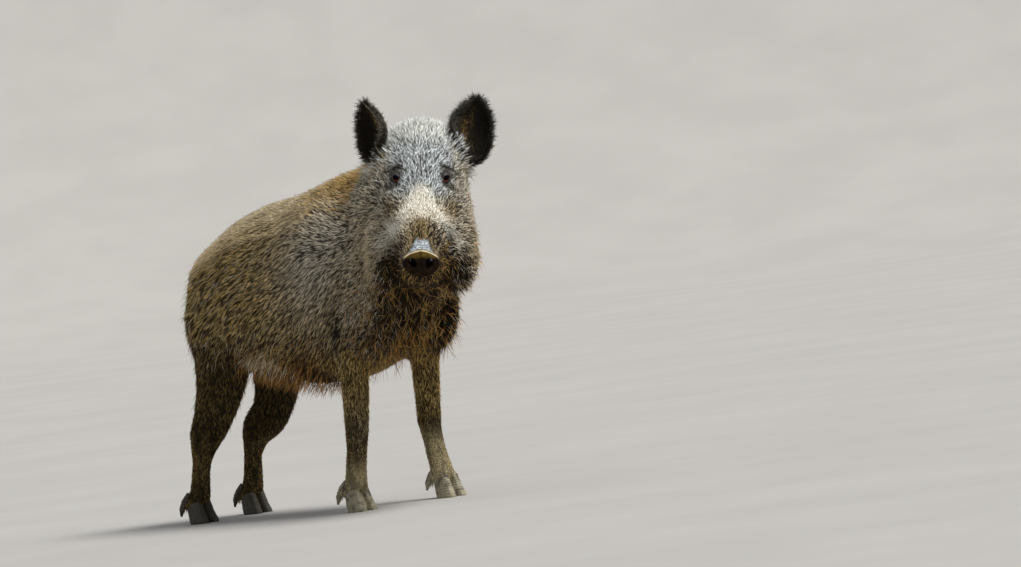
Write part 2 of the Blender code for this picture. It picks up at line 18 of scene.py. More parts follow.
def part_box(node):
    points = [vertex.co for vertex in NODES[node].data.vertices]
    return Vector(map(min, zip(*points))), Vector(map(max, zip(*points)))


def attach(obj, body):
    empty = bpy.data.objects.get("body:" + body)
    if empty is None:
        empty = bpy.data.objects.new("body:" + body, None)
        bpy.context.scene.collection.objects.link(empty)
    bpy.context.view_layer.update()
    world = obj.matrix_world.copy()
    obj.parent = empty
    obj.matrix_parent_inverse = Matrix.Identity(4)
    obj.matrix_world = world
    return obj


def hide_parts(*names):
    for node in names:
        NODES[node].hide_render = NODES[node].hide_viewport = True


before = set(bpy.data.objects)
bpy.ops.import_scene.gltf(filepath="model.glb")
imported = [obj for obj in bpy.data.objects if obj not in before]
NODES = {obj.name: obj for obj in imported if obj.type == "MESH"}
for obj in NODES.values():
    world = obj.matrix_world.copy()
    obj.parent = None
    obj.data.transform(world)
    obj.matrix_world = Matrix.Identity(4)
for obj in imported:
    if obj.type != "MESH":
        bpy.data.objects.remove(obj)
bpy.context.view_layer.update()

bl_info = {
    "name": "Wild boar",
    "version": (1, 0, 0),
    "blender": (4, 5, 0),
    "location": "View3D > Sidebar > Wild boar",
    "description": "Builds the skin, coat, eyes, snout and hooves of a standing wild boar",
    "category": "Object",
}


# ---------------------------------------------------------------- places on the body
def middle(node):
    low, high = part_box(node)
    return (Vector(low) + Vector(high)) / 2


EYE = {side: middle("eye_" + side) for side in ("left", "right")}
HEAD_AT = (EYE["left"] + EYE["right"]) / 2
EYES_FROM_GROUND = Vector((0.594, -0.086, 0.761))  # from the ground under the withers
GROUND_AT = HEAD_AT - EYES_FROM_GROUND
DISC_AT = middle("snout_disc")
LEFTWARD = (EYE["left"] - EYE["right"]).normalized()
TO_DISC = (DISC_AT - HEAD_AT).normalized()
OVER_DISC = TO_DISC.cross(LEFTWARD)
DISC_DIP = math.atan2(0.197, 0.150)  # the disc lies this far under the level of the eyes
FORWARD = TO_DISC * math.cos(DISC_DIP) + OVER_DISC * math.sin(DISC_DIP)
UPWARD = OVER_DISC * math.cos(DISC_DIP) - TO_DISC * math.sin(DISC_DIP)
FACE_PITCH = math.radians(50)  # slope of the face line
DISC_PITCH = math.radians(22)
HEAD_AXES = np.array((FORWARD, LEFTWARD, UPWARD))
MILLIMETRE = 0.001
WELD = 1e-6
HOOF_TOP = 0.046  # no tuft has its root lower than this
DOWN = np.array((0.0, 0.0, -1.0))


def on_head(fore, left, up):
    """A point given forwards, left and up from the middle of the eyes."""
    return HEAD_AT + FORWARD * fore + LEFTWARD * left + UPWARD * up


def mirrored(side):
    return 1 if side == "left" else -1


def group(start):
    """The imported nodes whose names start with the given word."""
    return sorted(name for name in NODES if name.startswith(start))


LEGS = ("foreleg_left", "foreleg_right", "hindleg_left", "hindleg_right")
FLESH = ["trunk", "neck", "head", "lower_jaw", "tail"]
FLESH += [f"{leg}_{part}" for leg in LEGS for part in ("upper", "lower")]
HORNS = group("claw_") + group("dewclaw_")


# ---------------------------------------------------------------- sizes and colours to change
def length_of(name, description, default):
    return FloatProperty(name=name, description=description, default=default, min=0.0,
                         subtype="DISTANCE", unit="LENGTH")


def amount_of(name, description, default):
    return FloatProperty(name=name, description=description, default=default, min=0.0)


def colour_of(name, description, red, green, blue):
    """A colour property given in the usual 0 to 255 display values."""
    shown = tuple(linear(value) for value in (red, green, blue))
    return FloatVectorProperty(name=name, description=description, default=shown, min=0.0, max=1.0,
                               size=3, subtype="COLOR")


def linear(value):
    share = value / 255
    return share / 12.92 if share <= 0.04045 else ((share + 0.055) / 1.055) ** 2.4


class BoarSkin(bpy.types.PropertyGroup):
    grain: length_of("Skin grain", "Size of the mesh squares on the body", 0.0055)
    eye_width: length_of("Eye slit width", "Length of the opening between the lids", 0.0180)
    eye_height: length_of("Eye slit height", "Height of the opening between the lids", 0.0142)
    lid: length_of("Lid thickness", "How far the lids stand over the eyeball", 0.0016)
    bare: colour_of("Bare skin", "Skin of the lids and lips", 30, 26, 24)
    leather: colour_of("Nose leather", "Bare wrinkled skin on top of the nose", 192, 204, 212)


class BoarCoat(bpy.types.PropertyGroup):
    fullness: amount_of("Fullness", "Number of tufts against the usual number", 1.0)
    length: amount_of("Length", "Length of the tufts against the usual length", 1.0)
    thickness: amount_of("Thickness", "Thickness of the tufts against the usual one", 1.0)
    seed: IntProperty(name="Seed", description="Start of the random draws", default=7)
    root: colour_of("Root", "Hair near the skin of the body", 38, 28, 9)
    straw: colour_of("Straw", "Pale tips of the flank", 188, 160, 98)
    # Silver is the hair's own colour; made strong on the shoulder it also carries a painted sheen, and it
    # adds to the painted sheen of the ears' rims and the painted light on the back.
    silver: colour_of("Silver", "Pale tips of the shoulder and cheeks", 205, 198, 182)
    frost: colour_of("Frost", "Tips on the forehead and crown", 230, 238, 240)
    cream: colour_of("Cream", "Tips on the bridge of the nose", 250, 248, 238)
    rust: colour_of("Rust", "Reddish hair of the flank fold and throat", 158, 98, 42)
    soot: colour_of("Soot", "Black hair of the ears and legs", 20, 16, 10)
    mud: colour_of("Mud", "Dried mud on the lower legs", 186, 172, 133)


class BoarEyes(bpy.types.PropertyGroup):
    iris: colour_of("Iris", "Amber ring of the eye", 200, 92, 28)


class BoarSnout(bpy.types.PropertyGroup):
    disc: colour_of("Disc", "Moist skin of the disc", 36, 23, 10)
    band: colour_of("Band", "Skin of the disc under its upper edge", 132, 106, 46)
    rim: colour_of("Rim", "Worn upper edge of the disc", 196, 192, 172)
    rim_height: length_of("Rim height", "How far the edge stands over the disc", 0.0026)


class BoarHooves(bpy.types.PropertyGroup):
    horn: colour_of("Horn", "Horn of the claws", 78, 68, 54)
    mud: colour_of("Mud", "Dried mud on the claws", 146, 139, 116)
    ring_depth: length_of("Ring depth", "Depth of the growth rings", 0.0004)


class BoarStudio(bpy.types.PropertyGroup):
    paper: colour_of("Paper", "Colour of the floor and backdrop", 162, 160, 157)
    key: amount_of("Key", "Strength of the high soft light", 3.9)
    sky: amount_of("Sky", "Strength of the light from all sides", 0.50)


# ---------------------------------------------------------------- numbers on points
def rise(values, low, high):
    """0 under the low value, 1 over the high one, and smooth between them."""
    share = np.clip((values - low) / (high - low), 0.0, 1.0)
    return share * share * (3 - 2 * share)


def hump(values, centre, half):
    return np.exp(-(((values - centre) / half) ** 2))


def unit(vectors):
    return vectors / np.maximum(np.linalg.norm(vectors, axis=1, keepdims=True), 1e-9)


def grain(points, size, seed):
    """Smooth random values from 0 to 1, with features of the given size."""
    spots = points / size + 31.7
    cell = np.floor(spots).astype(np.int64)
    inside = spots - cell
    inside = inside * inside * (3 - 2 * inside)
    total = np.zeros(len(points))
    for corner in itertools.product((0, 1), repeat=3):
        key = (cell + corner) @ np.array((73856093, 19349663, 83492791)) + seed * 7919
        key = ((key ^ (key >> 13)) * 1274126177) & 0xFFFFFFFF
        key = ((key ^ (key >> 15)) * 668265263) & 0xFFFFFFFF
        share = np.where(corner, inside, 1 - inside).prod(axis=1)
        total += share * ((key >> 8) & 0xFFFF) / 0xFFFF
    return total


def soft_ball(values, centre, radii, strength):
    away = sum(((value - at) / radius) ** 2 for value, at, radius in zip(values, centre, radii))
    return np.minimum(1, strength * np.exp(-away))


class Place:
    """Points of the skin, with their measures on the body, the head and the face."""

    def __init__(self, points, normals):
        self.points = points
        self.normals = normals
        self.x, self.y, self.z = (points - np.array(GROUND_AT)).T
        self.fore, self.left, self.up = HEAD_AXES @ (points - np.array(HEAD_AT)).T
        self.flat = np.abs(self.left)
        self.along = self.fore * math.cos(FACE_PITCH) - self.up * math.sin(FACE_PITCH)
        self.off = self.fore * math.sin(FACE_PITCH) + self.up * math.cos(FACE_PITCH)
        self.turned_up = normals[:, 2]

    def ball(self, centre, radii, strength=1.0):
        """1 at a point on both sides of the body, fading out like a soft ball of the given radii."""
        return soft_ball((self.x, np.abs(self.y), self.z), centre, radii, strength)

    def face_ball(self, centre, radii, strength=1.0):
        """The same on both sides of the head, given forwards, sideways and up."""
        return soft_ball((self.fore, self.flat, self.up), centre, radii, strength)

    def trail(self, half, stops, strength=1.0):
        """1 along a line on both sides of the head, through stops given as in face_ball."""
        spots = np.stack((self.fore, self.flat, self.up), 1)
        away = np.ones(len(spots))
        for start, end in zip(np.array(stops), np.array(stops[1:])):
            run = end - start
            share = np.clip((spots - start) @ run / (run @ run), 0, 1)
            away = np.minimum(away, np.linalg.norm(spots - start - np.outer(share, run), axis=1))
        return np.minimum(1, strength * np.exp(-((away / half) ** 2)))


# ---------------------------------------------------------------- where each kind of hair grows
def on_whole(q):
    return np.ones(len(q.x))


def on_head_all(q):
    return rise(q.fore, -0.150, -0.090)


# Where this mask colours the coat, its pale tips are partly the mane's own colour and partly painted light
# from above: it takes the skin that faces upward.
def on_back(q):
    return rise(q.turned_up, 0.35, 0.85) * rise(q.z, 0.50, 0.58) * rise(0.50 - q.x, 0.0, 0.1)


def on_rump(q):
    return rise(-q.x, 0.16, 0.30)


# The shoulder's silver tips are partly the hair's own grizzled colour and partly a painted sheen of light.
def on_shoulder(q):
    return q.ball((0.27, 0.16, 0.60), (0.14, 0.13, 0.17))


def on_shoulder_crest(q):
    return q.ball((0.30, 0.15, 0.69), (0.09, 0.10, 0.07), 1.4)


def on_belly(q):
    low = rise(-q.turned_up, 0.20, 0.80) * rise(q.z, 0.26, 0.29) * rise(0.48 - q.z, 0.0, 0.06)
    return low * (1 - on_forelegs(q)) * rise(q.x, -0.13, -0.05)


def on_low_shoulder(q):
    return q.ball((0.37, 0.15, 0.45), (0.075, 0.09, 0.075), 1.2)


# Painted shade: a dark line of hair in the crease where the foreleg meets the body.
def on_elbow_painted_shade(q):
    line = q.x - 0.298 - 0.45 * (q.z - 0.41)
    return hump(line, 0, 0.018) * hump(q.z, 0.420, 0.065) * rise(np.abs(q.y), 0.10, 0.13)


def on_jowl_shade(q):
    return q.ball((0.398, 0.147, 0.545), (0.028, 0.05, 0.065), 1.3)


def on_flank_fold(q):
    return q.ball((-0.03, 0.14, 0.395), (0.13, 0.10, 0.045), 1.3)


def on_neck(q):
    return rise(q.x, 0.24, 0.34) * rise(q.z, 0.56, 0.64)


def on_nape(q):
    return q.ball((0.37, 0.09, 0.785), (0.13, 0.09, 0.065)) * (1 - on_head_all(q))


def on_throat(q):
    low = rise(0.575 - q.z + 0.35 * (q.x - 0.42), 0.0, 0.07)
    return low * rise(q.x, 0.34, 0.41) * rise(q.z, 0.32, 0.38)


def on_forelegs(q):
    return rise(0.41 - q.z, 0.0, 0.07) * rise(q.x, 0.15, 0.22)


def on_hindlegs(q):
    return rise(0.535 - q.z - 0.35 * (q.x + 0.20), 0.0, 0.15) * rise(-q.x, 0.03, 0.10)


def on_lower_legs(q):
    return rise(0.24 - q.z, 0.0, 0.07)


def on_foreknees(q):
    knee = q.ball((0.335, 0.135, 0.178), (0.036, 0.034, 0.036))
    return on_forelegs(q) * rise(q.y, -0.02, 0.02) * knee


def on_right_shin(q):
    return on_forelegs(q) * rise(-q.y, -0.02, 0.02) * q.ball((0.335, 0.12, 0.190), (0.06, 0.08, 0.075))


def on_fore_mud(q):
    level = 0.178 + 0.025 * np.sign(q.y)
    return on_forelegs(q) * rise(level - q.z, 0.0, 0.07)


def on_feet(q):
    return rise(0.085 - q.z, 0.0, 0.035) * rise(q.x, 0.0, 0.1)


def on_tail(q):
    return rise(-q.x, 0.285, 0.300) * rise(0.030 - np.abs(q.y), 0.0, 0.006) * rise(0.60 - q.z, 0, 0.03)


def on_cheeks(q):
    return on_head_all(q) * rise(q.flat, 0.060, 0.095) * rise(0.02 - q.up, 0.0, 0.05)


def on_fringe(q):
    return q.face_ball((-0.072, 0.120, -0.190), (0.040, 0.036, 0.075), 1.4)


def on_forehead(q):
    low = 0.060 + 0.042 * hump(q.flat, 0, 0.040)
    return on_head_all(q) * rise(low - q.along, -0.02, 0.03) * rise(0.088 - q.flat, 0.0, 0.035)


def on_crown(q):
    return on_head_all(q) * rise(q.up, 0.055, 0.10) * rise(0.10 - q.flat, 0.0, 0.03)


def on_muzzle(q):
    return rise(q.along, 0.070, 0.120) * rise(0.075 - q.flat, 0.0, 0.015) * rise(q.fore, 0.0, 0.04)


def on_bridge(q):
    width = 0.014 + 0.07 * np.clip(q.along - 0.04, 0, 0.1)
    middle_part = rise(q.along, 0.030, 0.075) * rise(0.152 - q.along, 0.0, 0.03)
    return middle_part * hump(q.flat, 0, width) * rise(q.off, -0.012, 0.006)


MOUSTACHE_HIGH = (0.062, 0.010, -0.040), (0.079, 0.032, -0.078), (0.084, 0.052, -0.110)
MOUSTACHE_LOW = (0.084, 0.055, -0.112), (0.040, 0.070, -0.124), (-0.006, 0.076, -0.137), \
    (-0.012, 0.090, -0.153)


def on_moustache(q):
    return np.maximum(q.trail(0.0150, MOUSTACHE_HIGH, 1.25), q.trail(0.0165, MOUSTACHE_LOW, 1.25))


def on_nose_top(q):
    width = 0.011 + 0.85 * np.clip(q.along - 0.140, 0, 0.05)
    return rise(q.along, 0.128, 0.150) * hump(q.flat, 0, width) * rise(q.off, -0.030, -0.010)


def on_nose_leather(q):
    behind_disc = np.clip(q.along - 0.208, 0, 0.05)
    width = 0.016 + 0.20 * np.clip(q.along - 0.193, 0, 0.06) + 26.0 * behind_disc**2
    ragged = 0.018 * (grain(q.points, 0.006, 31) - 0.5) - 13.0 * q.flat**2
    top = rise(q.along + ragged, 0.188, 0.200) * rise(width + 0.4 * ragged + 0.006 - q.flat, 0.0, 0.010)
    return top * rise(q.off, -0.026, -0.010) * rise(0.262 - q.along, 0.0, 0.006)


def on_jaw_shade(q):
    return on_head_all(q) * rise(-q.up, 0.165, 0.20) * rise(0.112 - q.flat, 0.0, 0.020)


def on_lips(q):
    front = rise(q.along, 0.160, 0.200) * rise(-0.022 - q.off, 0.0, 0.02)
    return front * rise(q.fore, 0.02, 0.06)


def on_chin(q):
    return on_head_all(q) * rise(-q.turned_up, -0.1, 0.45) * rise(-0.14 - q.up, 0.0, 0.04)


def on_eye_ring(q):
    return q.face_ball((0.010, 0.0575, -0.002), (0.030, 0.0135, 0.0120), 1.6)


def on_lid(q):
    return q.face_ball((0.008, 0.057, 0.013), (0.03, 0.014, 0.007))


BROW = (0.008, 0.045, 0.024), (0.002, 0.052, 0.026), (-0.008, 0.064, 0.021), \
    (-0.020, 0.078, 0.012), (-0.040, 0.092, 0.001)


# Painted shade: the dark brow line stands in for the shade of the fold over the eye, which the hair hides.
def on_brow(q):
    return q.trail(0.0072, BROW, 1.5)


def on_tear_patch(q):
    return q.trail(0.0085, ((0.022, 0.052, -0.022), (-0.002, 0.080, -0.032)), 1.3)


def on_temple(q):
    return q.face_ball((-0.03, 0.094, -0.035), (0.04, 0.022, 0.045))


def on_cheek_patch(q):
    return q.face_ball((0.030, 0.072, -0.078), (0.05, 0.022, 0.030), 1.2)


def on_ear_root(q):
    return q.face_ball((-0.085, 0.106, 0.028), (0.030, 0.022, 0.018))


def on_crown_side(q):
    return q.face_ball((-0.082, 0.083, 0.092), (0.035, 0.022, 0.045))


def on_fold_edge(q):
    level = 0.392 - 0.14 * (q.x + 0.05)
    belt = hump(q.z, level, 0.022) * rise(np.abs(q.y), 0.06, 0.09) * (1 - on_hindlegs(q))
    return belt * rise(q.x, -0.10, -0.04) * rise(0.115 - q.x, 0.0, 0.06)


def on_rump_edge(q):
    return rise(-q.x, 0.24, 0.32) * rise(q.z, 0.38, 0.46) * rise(0.80 - q.z, 0.0, 0.1)


def on_coronet(q):
    return rise(q.z, 0.043, 0.047) * rise(0.070 - q.z, 0.0, 0.014)


# Each row: where, depth of the coat, length and width of a tuft in millimetres, thousands of tufts
# on a square metre, swerve in degrees, colour near the root, colour of the tip, share of pale tufts
COAT = (
    (on_whole, 12.0, 29, 1.5, 120, 13, "root*0.6", "straw*1.9+silver*0.2", 0.38),
    (on_neck, 14.0, 30, 1.6, 115, 14, "root*0.8", "silver*1.4", 0.54),
    # silver tips: partly the hair's own colour, partly a painted sheen
    (on_shoulder, 12.0, 28, 1.5, 125, 13, "root*0.8", "silver*1.5", 0.66),
    # pale back: partly the mane's own tips, partly painted light from above
    (on_back, 16.0, 34, 1.71, 110, 13, "root*2", "straw*1.4+silver*1.5", 1.15),
    (on_rump, 12.0, 29, 1.5, 120, 13, "root*0.5", "straw*1.4", 0.27),
    (on_nape, 18.0, 36, 1.71, 110, 17, "root*0.8+rust*0.1", "rust*0.36+straw*1.9", 0.74),
    (on_belly, 13.0, 34, 1.5, 75, 22, "soot*0.5+rust*0.05", "rust*0.75", 0.24),
    (on_flank_fold, 14.0, 34, 1.5, 90, 17, "root*0.6+rust*0.05", "straw*1.6+silver*0.5", 0.40),
    (on_low_shoulder, 12.0, 28, 1.5, 120, 14, "root*0.6", "straw*0.8+silver*0.1", 0.30),
    (on_jowl_shade, 11.0, 26, 1.45, 125, 14, "root*0.5", "straw*0.7+silver*0.3", 0.28),
    # painted shade in the crease between the foreleg and the body
    (on_elbow_painted_shade, 10.0, 24, 1.5, 120, 14, "root*0.4", "root*2.2", 0.24),
    (on_throat, 13.0, 30, 1.5, 90, 24, "soot*0.3+rust*0.015", "rust*0.16+straw*0.03", 0.20),
    (on_forelegs, 8.0, 18, 1.46, 110, 13, "root*1.6", "straw*1.4+silver*0.1", 0.64),
    (on_hindlegs, 8.0, 18, 1.46, 105, 13, "root*0.75", "straw*0.5+rust*0.06", 0.40),
    (on_lower_legs, 4.2, 11, 1.34, 140, 13, "root*1.2", "straw*0.9", 0.56),
    (on_right_shin, 5.5, 13, 1.34, 130, 14, "root*1.5", "silver*0.45+straw*0.5", 0.66),
    (on_fore_mud, 3.6, 10, 1.46, 140, 16, "mud*0.42", "mud*1.5", 0.90),
    (on_foreknees, 5.0, 12, 1.34, 130, 12, "soot*0.9", "root*1.8", 0.22),
    (on_feet, 3.2, 12, 1.46, 155, 13, "mud*0.42+silver*0.05", "mud*1.2+silver*0.3", 0.92),
    (on_tail, 6.0, 26, 1.59, 130, 12, "soot", "root*1.6", 0.35),
    (on_head_all, 9.0, 16, 1.09, 265, 18, "root*0.8", "silver*1.4", 0.56),
    (on_cheeks, 12.0, 21, 1.25, 220, 24, "root*0.5", "silver*1.4+straw*0.5", 0.54),
    (on_forehead, 8.5, 15, 1.04, 340, 20, "root*0.8+silver*0.02", "frost*1.15", 0.56),
    (on_crown, 14.0, 25, 1.14, 250, 26, "root*1.1+silver*0.05", "cream*0.8+frost*0.5", 0.84),
    (on_jaw_shade, 12.0, 22, 1.25, 195, 28, "soot*0.5", "rust*0.25+straw*0.15", 0.28),
    (on_fringe, 16.0, 30, 1.25, 175, 26, "root*0.35", "straw*1.3+silver*0.9", 0.56),
    (on_muzzle, 5.5, 10, 0.94, 425, 16, "root*1.3", "silver*1.2+straw*0.3", 0.58),
    (on_cheek_patch, 8.0, 14, 1.04, 350, 24, "root*0.7", "straw*0.7+silver*0.4", 0.36),
    (on_bridge, 7.0, 12, 1.04, 375, 17, "root+straw*0.7", "cream*1.2", 1.12),
    (on_moustache, 10.0, 15, 1.15, 335, 22, "root+straw*0.6", "cream*1.5", 1.10),
    (on_nose_top, 3.5, 8, 0.88, 440, 14, "root*2.4", "straw*0.8+silver*0.2", 0.56),
    (on_chin, 10.0, 19, 1.14, 185, 30, "soot*0.5", "rust*0.4+straw*0.25", 0.28),
    (on_lips, 3.5, 8, 0.88, 370, 16, "root*0.4", "straw*0.4+rust*0.1", 0.32),
    (on_temple, 8.0, 15, 1.09, 275, 17, "root*0.8", "silver*0.85", 0.42),
    (on_tear_patch, 3.5, 6, 0.83, 425, 11, "soot*1.8", "silver*0.42", 0.55),
    (on_lid, 3.0, 6, 0.78, 440, 10, "root*1.8", "silver*0.50", 0.45),
    # painted shade of the fold over the eye
    (on_brow, 3.6, 8, 0.94, 385, 9, "soot", "silver*0.25", 0.16),
    (on_eye_ring, 2.0, 4.5, 0.68, 515, 9, "soot*0.8", "root*1.3", 0.20),
    (on_ear_root, 10.0, 22, 1.14, 220, 19, "root*0.9", "cream*0.9", 0.70),
    (on_nose_leather, 0.6, 2.5, 0.6, 40, 9, "soot*2", "silver*0.6", 0.30),
)
DEPTH, LENGTH, WIDTH, CROWD, SWERVE, PALE_SHARE = range(6)


def mixed_colour(words, coat):
    """A colour from words such as rust*0.5+root, added up."""
    total = np.zeros(3)
    for word in words.split("+"):
        name, _, share = word.partition("*")
        total += np.array(getattr(coat, name)) * float(share or 1)
    return total


def capped(colours):
    """The same hues, none brighter than hair can be."""
    return colours / np.maximum(colours.max(axis=-1, keepdims=True) / 0.92, 1.0)


def coat_at(q):
    """Sizes, dark colour and pale colour of the hair at each point."""
    coat = bpy.context.scene.boar_coat
    sizes = np.zeros((len(q.x), 6))
    dark = np.zeros((len(q.x), 3))
    pale = np.zeros((len(q.x), 3))
    for where, depth, length, width, crowd, swerve, near, far, share in COAT:
        part = where(q)[:, None]
        row = (depth / 1000, length / 1000, width / 1000, crowd * 1000.0, math.radians(swerve), share)
        sizes += part * (np.array(row) - sizes)
        dark += part * (mixed_colour(near, coat) - dark)
        pale += part * (mixed_colour(far, coat) - pale)
    patches = grain(q.points, 0.055, 3)[:, None]
    blotches = grain(q.points, 0.018, 5)[:, None]
    pale *= 0.80 + 0.26 * patches + 0.14 * blotches
    dark *= 0.85 + 0.30 * blotches
    slant = np.stack((0.45 * q.x - 0.9 * q.z, q.y, 0.22 * (0.9 * q.x + 0.45 * q.z)), 1)
    level = np.stack((0.16 * q.x, q.y, 0.3 * q.z), 1)
    top = rise(q.turned_up, 0.60, 0.90)
    clumps = rise(grain(slant, 0.010, 6), 0.50, 0.70) * rise(q.turned_up, 0.20, 0.6) * (1 - top)
    clumps += rise(grain(level, 0.0075, 7), 0.48, 0.70) * top
    clumps *= 1 - on_head_all(q)
    mane = np.maximum(on_back(q), on_nape(q)) * rise(q.x, -0.15, 0.10)
    pale *= 1 - ((0.28 + (0.52 - 0.18 * top) * mane) * clumps)[:, None]
    upright = np.stack((q.x, q.y, 0.22 * q.z + 0.25 * q.x), 1)
    streaks = rise(grain(upright, 0.010, 8), 0.50, 0.68) * rise(0.30 - q.z, 0.0, 0.10)
    pale *= 1 - 0.60 * streaks[:, None]
    return sizes, dark, capped(pale)


def lie_at(q):
    """The way the hair lies at each point, along the skin."""
    still = np.zeros(len(q.x))
    outward = np.clip(q.left / 0.08, -1, 1)

    def way(*parts):
        return np.stack([part + still for part in parts], 1)

    def head_way(*parts):
        return way(*parts) @ HEAD_AXES

    from_chin = q.points - np.array(DISC_AT - UPWARD * 0.03 + FORWARD * 0.02)
    cheek = (rise(q.flat, 0.070, 0.115) * rise(-0.02 - q.up, 0.0, 0.10))[:, None]
    face = unit(from_chin) * (1 - cheek) + head_way(-0.75, 0.55 * outward, -0.75) * cheek
    flow = unit(way(-1, 0, -0.85 - 1.2 * rise(-q.x, 0.10, 0.30)))
    for part, turned in (
        (on_back(q), way(-1, 0, -0.5)),
        (rise(q.x, 0.12, 0.34) * rise(0.74 - q.z, 0, 0.12), way(-0.65, 0, -1)),
        (on_shoulder_crest(q), way(-1, 0, 0.40)),
        (on_throat(q), way(-0.1, 0.7 * np.clip(q.y / 0.08, -1, 1), -1)),
        (on_belly(q), way(-1, 0.25 * np.sign(q.y), -0.3)),
        (on_flank_fold(q), way(-0.8, 0.1 * np.sign(q.y), -1)),
        (np.maximum(on_forelegs(q), on_hindlegs(q)), way(-0.18, 0, -1)),
        (on_tail(q), way(0, 0, -1)),
        (on_head_all(q) * rise(q.up, -0.24, -0.19), face),
        (on_fringe(q), head_way(-0.1, 0.9 * outward, -0.8)),
        (on_moustache(q) * rise(-q.up, 0.07, 0.12), head_way(-0.5, 0.9 * outward, -0.7)),
        (on_chin(q), head_way(-0.9, 0.5 * outward, -0.6)),
        (on_forehead(q), head_way(-0.5, 0.8 * outward, 1)),
        (on_crown_side(q), head_way(0.2, outward, 0.45)),
        (on_ear_root(q), head_way(0.1, outward, -0.65)),
    ):
        flow = flow + part[:, None] * (unit(turned) - flow)
    return along_skin(flow, q.normals)


def along_skin(flow, normals):
    """The part of the flow that runs along the skin; where almost none does, it is given a side."""
    flat = flow - normals * (flow * normals).sum(1, keepdims=True)
    lost = np.linalg.norm(flat, axis=1) < 0.15
    flat[lost] += np.cross(normals[lost], (0.0, 1.0, 0.0)) * 0.3
    return unit(flat)


# ---------------------------------------------------------------- mesh helpers
def show(name, mesh):
    thing = bpy.data.objects.new(name, mesh)
    bpy.context.scene.collection.objects.link(thing)
    return thing


def settle(thing):
    """Turns the modifiers of a thing into its mesh."""
    shaped = thing.evaluated_get(bpy.context.evaluated_depsgraph_get())
    mesh = bpy.data.meshes.new_from_object(shaped)
    thing.modifiers.clear()
    thing.data = mesh
    return thing


def mesh_of(bm, name):
    bmesh.ops.recalc_face_normals(bm, faces=bm.faces)
    mesh = bpy.data.meshes.new(name)
    bm.to_mesh(mesh)
    bm.free()
    return mesh


def pulled(items, word, width, kind=np.float32):
    """One row of numbers for each item of a mesh."""
    values = np.empty(len(items) * width, kind)
    items.foreach_get(word, values)
    return values.reshape(-1, width)


def corners(mesh):
    return pulled(mesh.vertices, "co", 3).astype(float)


def put_corners(mesh, points):
    mesh.vertices.foreach_set("co", points.astype(np.float32).ravel())
    mesh.update()


def outward_of(mesh):
    return pulled(mesh.vertex_normals, "vector", 3).astype(float)


def evened(mesh, values, rounds, share=1.0, factor=0.5):
    """Values on the corners, each drawn towards the mean of its neighbours."""
    first, second = pulled(mesh.edges, "vertices", 2, np.int32).T
    flat = values.reshape(len(values), -1).copy()
    size = len(flat)
    count = (np.bincount(first, minlength=size) + np.bincount(second, minlength=size))[:, None]
    for _ in range(rounds):
        total = np.zeros_like(flat)
        for column in range(flat.shape[1]):
            total[:, column] += np.bincount(first, flat[second, column], size)
            total[:, column] += np.bincount(second, flat[first, column], size)
        flat += (total / np.maximum(count, 1) - flat) * factor * share
    return flat.reshape(values.shape)


STORED_AS = {"FLOAT": "value", "FLOAT_VECTOR": "vector", "FLOAT_COLOR": "color"}


def note(mesh, name, kind, values):
    """Stores a value on each corner of the mesh, for the finishes to read."""
    if kind == "FLOAT_COLOR":
        values = np.column_stack((values, np.ones(len(values))))
    layer = mesh.attributes.new(name, kind, "POINT")
    layer.data.foreach_set(STORED_AS[kind], values.astype(np.float32).ravel())


def noted(mesh, name):
    layer = mesh.attributes[name]
    width = 3 if layer.data_type == "FLOAT_VECTOR" else 1
    values = pulled(layer.data, STORED_AS[layer.data_type], width).astype(float)
    return values if width == 3 else values[:, 0]


def dress(mesh, material):
    """Smooth shading and one finish all over."""
    mesh.polygons.foreach_set("use_smooth", np.ones(len(mesh.polygons), bool))
    mesh.update()
    mesh.materials.clear()
    mesh.materials.append(material)


def span_rings(bm, rings):
    """Faces between closed rings of the same count of corners."""
    for row, following in zip(rings, rings[1:]):
        for i in range(len(row)):
            j = (i + 1) % len(row)
            bm.faces.new((row[i], row[j], following[j], following[i]))


def recast(thing, size, rounds):
    """The thing as one even closed surface of small squares, eased a little."""
    remesh = thing.modifiers.new("even", "REMESH")
    remesh.mode = "VOXEL"
    remesh.voxel_size = size
    ease = thing.modifiers.new("ease", "SMOOTH")
    ease.iterations = rounds
    ease.factor = 0.5
    return settle(thing)


# ---------------------------------------------------------------- finishes
def tone(colour, share=1.0):
    """A darker or brighter shade of a colour."""
    return tuple(value * share for value in colour)


